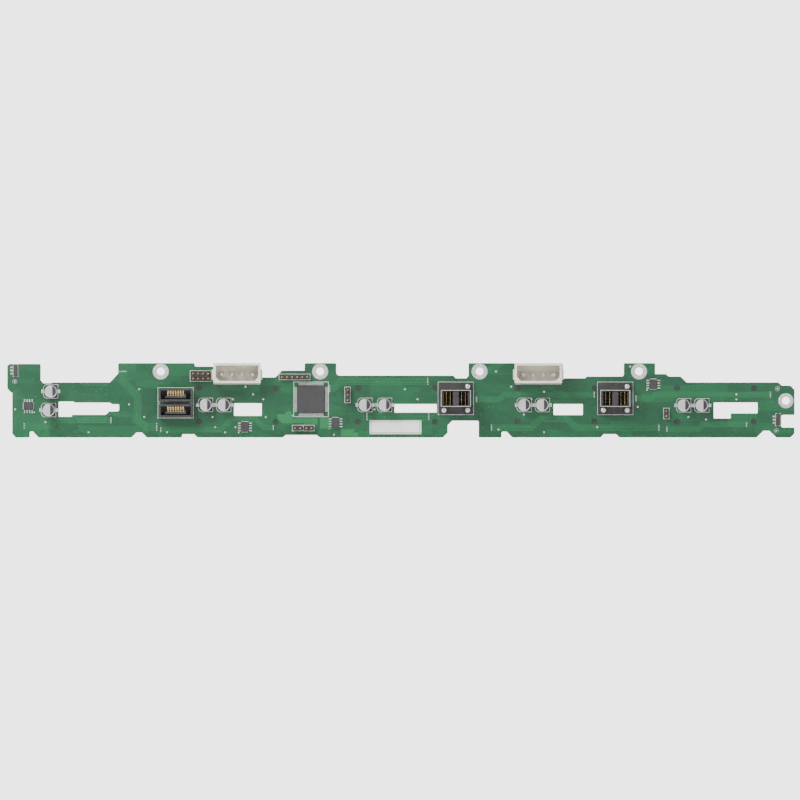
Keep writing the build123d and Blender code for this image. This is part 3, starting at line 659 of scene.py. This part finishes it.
def select_side(piece, side):
    """Selects the faces of a piece that lie on one side of the board."""
    drawing = bmesh.from_edit_mesh(piece.data)
    for face in drawing.faces:
        on_drive_side = face.calc_center_median().y > board_thickness / 2 * MM
        face.select_set(on_drive_side == (side == DRIVE))
    drawing.select_flush_mode()
    bmesh.update_edit_mesh(piece.data)


def raise_all(side, height):
    bpy.ops.mesh.select_all(action="SELECT")
    extrude_out(side, height + sink)


def narrow(scale):
    bpy.ops.transform.resize(value=(scale, 1, scale))


def repeat_at(places):
    """Copies what is selected, which stands at the first place, to all the others."""
    for here, there in zip(places, places[1:]):
        step = ((there[0] - here[0]) * MM, 0, (there[1] - here[1]) * MM)
        bpy.ops.mesh.duplicate_move(TRANSFORM_OT_translate={"value": step})


def row(count, pitch, centre=0.0):
    return [centre + (index - (count - 1) / 2) * pitch for index in range(count)]


header_pins = [
    (x + step_x, z + step_z)
    for x, z, across, up in headers
    for step_x in row(across, header_pitch) for step_z in row(up, header_pitch)
]
power_pins = [(x + step, z) for x, z in power_places for step in row(4, power_pitch)]


def port_tails():
    """Tails of both cable ports: four staggered rows of nine."""
    tails = []
    for port_x, port_z in port_places:
        for slot in row(2, 2 * port_row_pitch):
            for arm in row(2, port_row_pitch):
                for index, step in enumerate(row(9, -port_tail_pitch)):
                    stagger = (index % 3 - 1) * port_tail_stagger
                    tails.append((port_x + slot + arm + stagger, port_z + step))
    return tails


# Lands, plating and solder
def model_ring_lands():
    """Bare lands round the chassis screws on both faces, joined by plated holes."""
    piece = start_piece("screw_ring_lands")
    for side in (CABLE, DRIVE):
        for x, z in screw_places:
            radius = screw_land_radius if z == 0 else end_screw_land_radius
            add_ring(side, x, z, radius, radius - screw_hole_radius + 0.03, corners=64)
    for side in (CABLE, DRIVE):
        select_side(piece, side)
        extrude_out(side, plating_height + sink)
    wall = 0.02
    for x, z in screw_places:
        bpy.ops.mesh.select_all(action="DESELECT")
        bpy.ops.mesh.primitive_cylinder_add(
            vertices=48, radius=(screw_hole_radius - wall / 4) * MM, depth=board_thickness * MM,
            end_fill_type="NOTHING", location=(x * MM, board_thickness / 2 * MM, z * MM),
            rotation=(math.pi / 2, 0, 0))
        bpy.ops.mesh.extrude_region_move()
        narrow(1 - wall / screw_hole_radius)
    finish_piece(piece, tin_plate, smooth=True)


def model_land_solder_dots():
    """Ring of solder dots on each screw land, where the plane's vias come up."""
    piece = start_piece("screw_land_solder_dots")
    count, reach = 8, 3.1
    places = []
    for x, z in screw_places:
        for step in range(count):
            angle = math.tau * (step + 0.5) / count
            places.append((x + reach * math.cos(angle), z + reach * math.sin(angle)))
    for side in (CABLE, DRIVE):
        add_disc(side, *places[0], 0.42, corners=10, rise=plating_height - sink)
        extrude_out(side, 0.07)
        narrow(0.82)
        extrude_out(side, 0.05)
        narrow(0.5)
        bpy.ops.mesh.select_linked()
        repeat_at(places)
    finish_piece(piece, bare_solder, smooth=True)


def cable_side_lands():
    """Lands of the surface-mounted parts on the cable side: place, width and height."""
    lands = []
    for x, z in capacitor_places:
        lands += [(x - 3.0, z, 3.3, 1.8), (x + 2.75, z, 4.0, 1.8)]
    x, z = controller_place
    for step in row(25, controller_pitch):
        for reach in (-7.75, 7.75):
            lands.append((x + reach, z + step, 1.3, 0.29))
            lands.append((x + step, z + reach, 0.29, 1.3))
    for x, z in chip_places:
        lands += [(x + reach, z + step, 1.4, 0.6) for reach in (-2.75, 2.75) for step in row(4, chip_pitch)]
    x, z = turned_chip_place
    lands += [(x + step, z + reach, 0.6, 1.4) for reach in (-2.75, 2.75) for step in row(4, chip_pitch)]
    for x, z in sensor_places:
        lands += [(x - 2.0, z + step, 1.3, 0.8) for step in row(3, sensor_pitch)]
    return lands


def drive_side_lands():
    """Lands on the drive side, bay by bay: place, width and height."""
    broad = [drive_signal_start + index * drive_pitch for index in range(7)]
    broad += [drive_power_start + index * drive_pitch for index in range(15)]
    fine = row(7, drive_fine_pitch, drive_fine_centre)
    lands = []
    for bay in bay_centres:
        for level in (upper_row, lower_row):
            lands += [(bay - step, level - 4.45, 0.86, 1.0) for step in broad]
            lands += [(bay - step, level + 1.75, 0.5, 0.95) for step in fine]
            for rise in light_rises:
                for way in (-1, 1):
                    lands.append((bay + light_shift, level + rise + way * 0.95, 1.25, 0.5))
                    lands.append((bay + resistor_shift, level + rise + way * 0.85, 0.9, 0.6))
        for level in line_capacitor_rows:
            for step in row(6, line_capacitor_pitch, line_capacitor_shift):
                lands += [(bay + step, level + way * 0.75, 0.9, 0.45) for way in (-1, 1)]
    return lands


lands_of = {CABLE: cable_side_lands(), DRIVE: drive_side_lands()}


def model_lands():
    """Tinned lands under every surface-mounted lead."""
    for side, name in ((CABLE, "cable_side_lands"), (DRIVE, "drive_side_lands")):
        piece = start_piece(name)
        for land in lands_of[side]:
            add_rectangle(side, *land)
        raise_all(side, land_height)
        finish_piece(piece, bare_solder)


def model_solder_cones():
    """Solder that climbs each through-hole tail on the drive side."""
    kinds = {
        "power_pin_solder": (power_pins, 1.45, 0.8, 1.0, 20),
        "header_pin_solder": (header_pins, 0.85, 0.46, 0.8, 14),
        "port_tail_solder": (port_tails(), 0.31, 0.2, 0.42, 8),
    }
    for name, (places, foot, top, height, corners) in kinds.items():
        piece = start_piece(name)
        add_disc(DRIVE, *places[0], foot, corners)
        extrude_out(DRIVE, sink + 0.05)
        narrow(0.96)
        reach = 0.96 * foot
        for share, rise in ((0.45, 0.2), (0.15, 0.3), (0.0, 0.5)):
            radius = top + (foot - top) * share
            extrude_out(DRIVE, height * rise)
            narrow(radius / reach)
            reach = radius
        bpy.ops.mesh.select_linked()
        repeat_at(places)
        finish_piece(piece, bare_solder, smooth=True)


def model_solder_collars():
    """Thin solder collars round the header pins, on the cable face."""
    piece = start_piece("cable_side_solder_collars")
    for x, z in header_pins:
        add_disc(CABLE, x, z, 0.8, 14)
    raise_all(CABLE, plating_height)
    finish_piece(piece, bare_solder)


def add_toe(x, z, width, height, rise, share):
    """Low mound of solder with sides that lean in."""
    add_rectangle(CABLE, x, z, width, height, rise=land_height - sink)
    extrude_out(CABLE, rise / 2)
    narrow(0.9)
    extrude_out(CABLE, rise / 2)
    narrow(share)
    bpy.ops.mesh.select_linked()


def model_solder_toes():
    """Solder at the tips of the leads of cans, chips and sensors."""
    piece = start_piece("lead_tip_solder")
    across, up = controller_place
    turned_x, turned_z = turned_chip_place
    chip_row = row(4, chip_pitch)
    controller_row = row(25, controller_pitch)
    toes = []
    for way in (-1, 1):
        chip_tips = [(x + way * 3.12, z + step) for x, z in chip_places for step in chip_row]
        toes += [
            ([(x + way * 4.25, z) for x, z in capacitor_places], 0.55, 1.3, 0.22, 0.55),
            (chip_tips, 0.34, 0.5, 0.16, 0.6),
            ([(turned_x + step, turned_z + way * 3.12) for step in chip_row], 0.5, 0.34, 0.16, 0.6),
            ([(across + way * 8.1, up + step) for step in controller_row], 0.28, 0.24, 0.12, 0.6),
            ([(across + step, up + way * 8.1) for step in controller_row], 0.24, 0.28, 0.12, 0.6),
        ]
    sensor_tips = [(x - 2.42, z + step) for x, z in sensor_places for step in row(3, sensor_pitch)]
    toes.append((sensor_tips, 0.36, 0.6, 0.16, 0.6))
    for tips, width, height, rise, share in toes:
        add_toe(*tips[0], width, height, rise, share)
        repeat_at(tips)
    finish_piece(piece, bare_solder, smooth=True)


# Printed legend
def print_capacitor_outlines():
    """Outline of each can's base, rounded at its left corners and open at the leads."""
    across, up, round_off, stop = 3.65, 3.45, 2.0, 1.1
    for x, z in capacitor_places:
        for way in (-1, 1):
            points = [(x + across, z + way * stop), (x + across, z + way * up)]
            for step in range(7):
                angle = math.pi / 2 * step / 6
                reach = across - round_off + round_off * math.sin(angle)
                points.append((x - reach, z + way * (up - round_off + round_off * math.cos(angle))))
            points.append((x - across, z + way * stop))
            add_strip(CABLE, points, ink_line)


def model_cable_legend():
    """White outlines and first-pin marks on the cable side."""
    piece = start_piece("cable_side_legend")
    print_capacitor_outlines()
    for x, z in power_places:
        add_strip(CABLE, [(x - 11.49, z - 4.75), (x + 11.49, z - 4.75)], ink_line)
    frames = [(x, z, across * header_pitch + 0.5, up * header_pitch + 0.5) for x, z, across, up in headers]
    frames += [(*place, 18.0, 7.4) for place in data_places]
    frames += [(*place, 18.0, 16.6) for place in port_places]
    frames += [(*place, 3.3, 5.5) for place in chip_places]
    frames += [(*place, 2.6, 6.5) for place in sensor_places]
    frames.append((*turned_chip_place, 5.5, 3.3))
    frames.append((*controller_place, 17.6, 17.6))
    frames.append((*label_place, label_size[0] + 0.6, label_size[1] + 0.6))
    for frame_size in frames:
        add_frame(CABLE, *frame_size, ink_line)
    for x, z in chip_places:
        add_disc(CABLE, x - 3.1, z - 2.9, 0.3, 10)
    add_disc(CABLE, turned_chip_place[0] + 2.9, turned_chip_place[1] - 3.1, 0.3, 10)
    add_disc(CABLE, controller_place[0] - 9.5, controller_place[1] - 8.2, 0.4, 12)
    raise_all(CABLE, ink_height)
    finish_piece(piece, legend_ink)


def model_drive_legend():
    """White outlines of the drive sockets and the small parts on the drive side."""
    piece = start_piece("drive_side_legend")
    for bay in bay_centres:
        for level in (upper_row, lower_row):
            add_frame(DRIVE, bay, level - 1.4, 43.4, 6.0, ink_line)
            for rise in light_rises:
                for reach in (-0.95, 0.95):
                    x, z = bay + light_shift + reach, level + rise
                    add_strip(DRIVE, [(x, z - 0.99), (x, z + 0.99)], ink_line)
    raise_all(DRIVE, ink_height)
    finish_piece(piece, legend_ink)


def model_polarity_marks():
    """Black part on the top of each can, on its right-hand side."""
    piece = start_piece("can_polarity_marks")
    x, z = capacitor_places[0]
    cut = ((x + 0.75) * MM, 0, z * MM)
    add_disc(CABLE, x, z, 2.75, 32, rise=can_top - sink)
    bpy.ops.mesh.bisect(
        plane_co=cut, plane_no=(1, 0, 0), use_fill=False, clear_inner=True, clear_outer=False)
    bpy.ops.mesh.select_all(action="SELECT")
    extrude_out(CABLE, sink + ink_height)
    bpy.ops.mesh.select_all(action="SELECT")
    repeat_at(capacitor_places)
    finish_piece(piece, black_ink)


# Copper
copper_areas = [
    [(-61.5, -21.45), (-57.48, -21.45), (-57.28, -20.0), (-54.67, -20.0), (-53.62, -23.56), (-41.32, -23.46),
     (-41.32, -26.62), (-48.1, -26.62), (-48.15, -26.07), (-59.04, -26.07), (-61.3, -23.96)],
    [(-40.1, -23.36), (-29.6, -23.36), (-29.6, -28.63), (-40.1, -28.63)],
    [(-29.53, -29.03), (-22.75, -29.03), (-22.65, -30.59), (-20.85, -30.59), (-21.0, -32.69),
     (-29.53, -32.69)],
]


def model_copper_areas():
    """Wide copper areas near the controller, under the mask."""
    piece = start_piece("covered_copper_areas")
    for points in copper_areas:
        add_polygon(CABLE, points)
    raise_all(CABLE, copper_area_height)
    finish_piece(piece, mask_over_copper)


# Each bundle: number of tracks, spacing, and points with the spread of the row there.
# A row keeps its spacing round a bend of 45 degrees when it spreads by this much.
bend = math.tan(math.pi / 8)
cable_side_bundles = [
    (4, 0.65, [(-120.0, -29.2, 0, 1), (-89.9, -29.2, -bend, 1), (-84.55, -23.85, -bend, 1),
        (-72.5, -23.85, bend, 1), (-68.15, -28.2, bend, 1), (-63.5, -28.2, 0, 1)]),
    (5, 0.8, [(-139.0, 0.0, 1, 0), (-139.0, -5.0, 1, bend), (-131.5, -12.5, 1, bend),
        (-131.5, -24.0, 1, bend), (-127.6, -27.9, bend, 1), (-122.0, -27.9, 0, 1)]),
    (5, 0.75, [(-35.3, -8.6, 0, 1), (-33.5, -8.6, -bend, 1), (-29.8, -4.9, -bend, 1),
        (14.0, -4.9, 0, 1)]),
    (5, 0.8, [(-16.5, -22.6, 0, 1), (14.5, -22.6, 0, 1)]),
    (5, 0.6, [(38.5, -14.0, 0, 1), (50.0, -14.0, -bend, 1), (52.4, -11.6, -bend, 1),
        (97.5, -11.6, 0, 1)]),
    (5, 0.65, [(46.0, -28.2, 0, 1), (66.0, -28.2, -bend, 1), (70.4, -23.8, -bend, 1),
        (84.0, -23.8, bend, 1), (88.4, -28.2, bend, 1), (130.0, -28.2, 0, 1)]),
    (5, 0.6, [(118.5, -13.6, 0, 1), (126.0, -13.6, -bend, 1), (128.0, -11.6, -bend, 1),
        (186.0, -11.6, 0, 1)]),
    (4, 0.7, [(134.0, -28.9, 0, 1), (150.0, -28.9, -bend, 1), (152.3, -26.6, -bend, 1),
        (174.0, -26.6, 0, 1)]),
    (4, 0.8, [(-188.5, -27.5, 0, 1), (-176.0, -27.5, -bend, 1), (-173.0, -24.5, -bend, 1),
        (-145.0, -24.5, 0, 1)]),
]
drive_side_bundles = [
    (4, 0.7, [(-178.0, -31.4, 0, 1), (-140.0, -31.4, -bend, 1), (-134.6, -26.0, -bend, 1),
        (-129.0, -26.0, -bend, 1), (-125.5, -22.5, -1, bend), (-125.5, -4.0, -1, 0)]),
    (5, 0.7, [(-136.5, 1.0, 1, 0), (-136.5, -9.0, 1, bend), (-131.0, -14.5, 1, bend),
        (-131.0, -22.0, 1, 0)]),
    (4, 0.6, [(-99.0, -31.4, 0, 1), (-62.7, -31.4, -bend, 1), (-56.5, -25.2, -bend, 1),
        (-40.5, -25.2, -bend, 1), (-36.5, -21.2, -1, bend), (-36.5, -13.0, -1, 0)]),
    (5, 0.7, [(-57.5, -12.0, 0, 1), (-50.0, -12.0, -bend, 1), (-46.5, -8.5, -bend, 1),
        (-36.0, -8.5, 0, 1)]),
    (4, 0.6, [(-38.5, -28.5, 0, 1), (-34.9, -28.5, bend, 1), (-32.0, -31.4, bend, 1),
        (18.5, -31.4, 0, 1)]),
    (5, 0.7, [(36.6, -11.0, 0, 1), (38.2, -11.0, bend, 1), (43.2, -16.0, 1, bend),
        (43.2, -29.5, 1, 0)]),
    (4, 0.6, [(59.5, -31.4, 0, 1), (99.6, -31.4, -bend, 1), (104.5, -26.5, -bend, 1),
        (112.0, -26.5, -bend, 1), (118.0, -20.5, -bend, 1), (124.0, -20.5, 0, 1)]),
    (5, 0.7, [(117.0, -9.5, 0, 1), (119.5, -9.5, bend, 1), (124.5, -14.5, 1, bend),
        (124.5, -17.3, 1, 0)]),
    (4, 0.6, [(113.0, -30.0, 0, 1), (120.0, -30.0, bend, 1), (121.4, -31.4, bend, 1),
        (176.5, -31.4, 0, 1)]),
]


def tracks_of(side):
    """All tracks of one face, each as its places from end to end."""
    bundles = cable_side_bundles if side == CABLE else drive_side_bundles
    tracks = []
    for count, pitch, points in bundles:
        for step in row(count, pitch):
            tracks.append([(x + across * step, z + up * step) for x, z, across, up in points])
    return tracks


def model_tracks():
    """Bundles of tracks that show as low ridges under the mask."""
    for side, name in ((CABLE, "cable_side_tracks"), (DRIVE, "drive_side_tracks")):
        piece = start_piece(name)
        for track in tracks_of(side):
            add_strip(side, track, track_width)
        raise_all(side, track_height)
        finish_piece(piece, mask_over_copper)


def add_via(side, x, z, radius, height, taper, ring, sunk):
    """Raised ring round a shallow hole."""
    add_disc(side, x, z, radius, 12)
    extrude_out(side, sink + height)
    narrow(taper)
    bpy.ops.mesh.inset(thickness=ring * MM)
    extrude_out(side, -sunk)
    bpy.ops.mesh.select_linked()


def model_track_ends():
    """Plated via at both ends of each track."""
    for side, name in ((CABLE, "cable_side_track_ends"), (DRIVE, "drive_side_track_ends")):
        piece = start_piece(name)
        ends = []
        for track in tracks_of(side):
            ends += [track[0], track[-1]]
        add_via(side, *ends[0], radius=0.3, height=0.035, taper=0.92, ring=0.11, sunk=0.02)
        repeat_at(ends)
        finish_piece(piece, bare_solder, smooth=True)


def model_vias():
    """Small vias under the mask, over the free parts of both faces."""
    for side, name, seed in ((CABLE, "cable_side_vias", 6), (DRIVE, "drive_side_vias", 8)):
        piece = start_piece(name)
        places = free_spots(side, 150, 0.5, seed)
        add_via(side, *places[0], radius=0.34, height=0.03, taper=0.9, ring=0.14, sunk=0.02)
        repeat_at(places)
        finish_piece(piece, mask_over_copper, smooth=True)


def model_test_pads():
    """Round bare pads for the test fixture's pins."""
    kinds = ((CABLE, "cable_side_test_pads", 34, 19), (DRIVE, "drive_side_test_pads", 40, 21))
    for side, name, count, seed in kinds:
        piece = start_piece(name)
        places = free_spots(side, count, 0.9, seed)
        add_disc(side, *places[0], 0.5, 16)
        extrude_out(side, sink + land_height)
        narrow(0.94)
        extrude_out(side, 0.015)
        narrow(0.7)
        bpy.ops.mesh.select_linked()
        repeat_at(places)
        finish_piece(piece, tin_plate)


def model_post_rivets():
    """Domed rivet heads in the cable ports' corner posts."""
    piece = start_piece("port_post_rivets")
    corners = ((1, 1), (-1, -1), (1, -1))
    posts = []
    for x, z in port_places:
        posts += [(x + across * port_post_reach, z + up * port_post_reach) for across, up in corners]
    add_disc(CABLE, *posts[0], 1.2, 24, rise=port_post_top - 0.02)
    extrude_out(CABLE, 0.2)
    for share, rise in ((0.94, 0.14), (0.8, 0.12), (0.55, 0.08)):
        extrude_out(CABLE, rise)
        narrow(share)
    bpy.ops.mesh.select_linked()
    repeat_at(posts)
    finish_piece(piece, tin_plate, smooth=True)


def model_pin_bosses():
    """Raised bosses round the pins on the floor of each power socket, square at the first pin."""
    base = 2.18
    for end, (x, z) in zip(("left", "right"), power_places):
        piece = start_piece(f"power_socket_{end}_bosses")
        first, *others = row(4, power_pitch)
        add_rectangle(CABLE, x + first, z, 3.0, 3.0, rise=base)
        for step in others:
            add_disc(CABLE, x + step, z, 1.6, 28, rise=base)
        bpy.ops.mesh.select_all(action="SELECT")
        extrude_out(CABLE, 0.55)
        bpy.ops.mesh.inset(thickness=0.12 * MM)
        extrude_out(CABLE, 0.08)
        finish_piece(piece, white_nylon, smooth=True)


def model_through_hole_lands():
    """Tinned lands round the through-hole tails on the drive side, square at each first pin."""
    piece = start_piece("through_hole_lands")
    for places, radius in ((power_pins, 1.7), (header_pins, 1.0)):
        for x, z in places:
            if any(math.dist((x, z), first) < 0.1 for first in first_pins):
                add_rectangle(DRIVE, x, z, 2 * radius, 2 * radius)
            else:
                add_disc(DRIVE, x, z, radius, 24)
    raise_all(DRIVE, land_height)
    finish_piece(piece, bare_solder)


def model_placing_marks():
    """Three bare dots for the placing machine, each in a ring."""
    piece = start_piece("placing_marks")
    for x, z in placing_mark_places:
        add_disc(CABLE, x, z, 0.5, 20)
        add_ring(CABLE, x, z, 1.2, 0.12, 24)
    raise_all(CABLE, land_height)
    finish_piece(piece, tin_plate)


def covered_places(side, margin):
    """Boxes on one face that are taken by parts or lands: left, right, low and high."""
    longest_part = 60 * MM
    taken = []
    for name in nodes:
        low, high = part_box(name)
        on_side = low.y < -sink * MM if side == CABLE else high.y > (board_thickness + sink) * MM
        if name == "circuit_board" or not on_side or high.x - low.x > longest_part:
            continue
        taken.append((
            low.x / MM - margin, high.x / MM + margin, low.z / MM - margin, high.z / MM + margin))
    around = margin + 0.4
    for x, z, width, height in lands_of[side]:
        half_width = width / 2 + around
        half_height = height / 2 + around
        taken.append((x - half_width, x + half_width, z - half_height, z + half_height))
    return taken


def free_spots(side, count, margin, seed):
    """Places on one face that are clear of edges, holes and parts, in a fixed order."""
    board = nodes["circuit_board"]
    taken = covered_places(side, margin)
    grid = 1.27
    around = margin + 0.4
    probes = [(0, 0)]
    for angle in (0, 1.57, 3.14, 4.71, 0.79, 2.36, 3.93, 5.5):
        probes.append((around * math.cos(angle), around * math.sin(angle)))
    above, inward = 5.0, Vector((0, -side, 0))
    draw = random.Random(seed)
    found = []
    while len(found) < count:
        x, z = draw.uniform(left_edge, right_edge), draw.uniform(bottom_edge, top_edge)
        x, z = round(x / grid) * grid, round(z / grid) * grid
        if any(left <= x <= right and low <= z <= high for left, right, low, high in taken):
            continue
        if any(math.dist((x, z), screw) < 5.0 for screw in screw_places):
            continue
        if any(math.dist((x, z), spot) < 1.6 for spot in found):
            continue
        hits = []
        for dx, dz in probes:
            start = Vector(((x + dx) * MM, face_depth(side, above), (z + dz) * MM))
            hits.append(board.ray_cast(start, inward, distance=(above + 0.5) * MM)[0])
        if all(hits):
            found.append((x, z))
    return found


model_ring_lands()
model_land_solder_dots()
model_lands()
model_solder_cones()
model_solder_collars()
model_solder_toes()
model_cable_legend()
model_drive_legend()
model_polarity_marks()
model_copper_areas()
model_tracks()
model_track_ends()
model_test_pads()
model_post_rivets()
model_through_hole_lands()
model_pin_bosses()
model_placing_marks()
model_vias()


# Stage
def add_floor():
    """Pale floor under the board's lower edge, as light to the camera as the backdrop."""
    bpy.ops.object.select_all(action="DESELECT")
    bpy.ops.mesh.primitive_plane_add(size=30, location=(0, 0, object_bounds()[0].z))
    floor = bpy.context.object
    floor.name = "floor"
    material, graph, shader = new_material("pale_floor")
    cloud = graph.noise(graph.place(), 8.0, 3.0)
    graph.feed(shader.inputs["Base Color"], graph.mix(cloud, (0.8, 0.8, 0.8, 1), (0.84, 0.84, 0.84, 1)))
    seen = graph.add("ShaderNodeLightPath").outputs["Is Camera Ray"]
    graph.feed(shader.inputs["Emission Strength"], graph.span(seen, 0, 1, 0.5, 2.0))
    set_values(shader, roughness=0.7, emission_color=(1, 1, 1, 1))
    floor.data.materials.append(material)


def add_area_light(name, place, size, power):
    """Square light that faces the middle of the board."""
    data = bpy.data.lights.new(name, "AREA")
    data.size = size
    data.energy = power
    light = bpy.data.objects.new(name, data)
    light.location = place
    light.rotation_euler = (-Vector(place)).to_track_quat("-Z", "Y").to_euler()
    bpy.context.scene.collection.objects.link(light)


def add_world():
    """White to the camera, with a softer sky above a darker horizon for the parts to reflect."""
    world = bpy.data.worlds.new("studio")
    bpy.context.scene.world = world
    world.use_nodes = True
    graph = Graph(world.node_tree)
    backdrop = world.node_tree.nodes["Background"]
    up = graph.split(graph.add("ShaderNodeTexCoord").outputs["Generated"])["Z"]
    sky = graph.mix(graph.span(up, -0.4, 0.8), (0.35, 0.35, 0.36, 1), (1.0, 1.0, 1.0, 1))
    graph.feed(backdrop.inputs["Color"], sky)
    backdrop.inputs["Strength"].default_value = 0.45
    seen = graph.add("ShaderNodeBackground", {"Color": (1, 1, 1, 1), "Strength": 3.5})
    ray = graph.add("ShaderNodeLightPath").outputs["Is Camera Ray"]
    both = graph.add("ShaderNodeMixShader", {0: ray, 1: backdrop.outputs[0], 2: seen.outputs[0]})
    graph.feed(world.node_tree.nodes["World Output"].inputs["Surface"], both.outputs[0])


def add_camera():
    """Level and square to the cable side, with no perspective."""
    view_width = 401.44
    view_centre = (0.075, -14.33)
    distance = 6000
    data = bpy.data.cameras.new("camera")
    data.type = "ORTHO"
    data.ortho_scale = view_width * MM
    camera = bpy.data.objects.new("camera", data)
    camera.location = (view_centre[0] * MM, -distance * MM, view_centre[1] * MM)
    camera.rotation_euler = (math.pi / 2, 0, 0)
    bpy.context.scene.collection.objects.link(camera)
    bpy.context.scene.camera = camera


add_floor()
add_area_light("key_light", place=(-0.5, -0.7, 0.6), size=0.5, power=17)
add_area_light("fill_light", place=(0.7, -0.6, 0.2), size=0.9, power=5)
add_area_light("back_light", place=(0.3, 0.8, 0.6), size=0.8, power=10)
add_world()
add_camera()
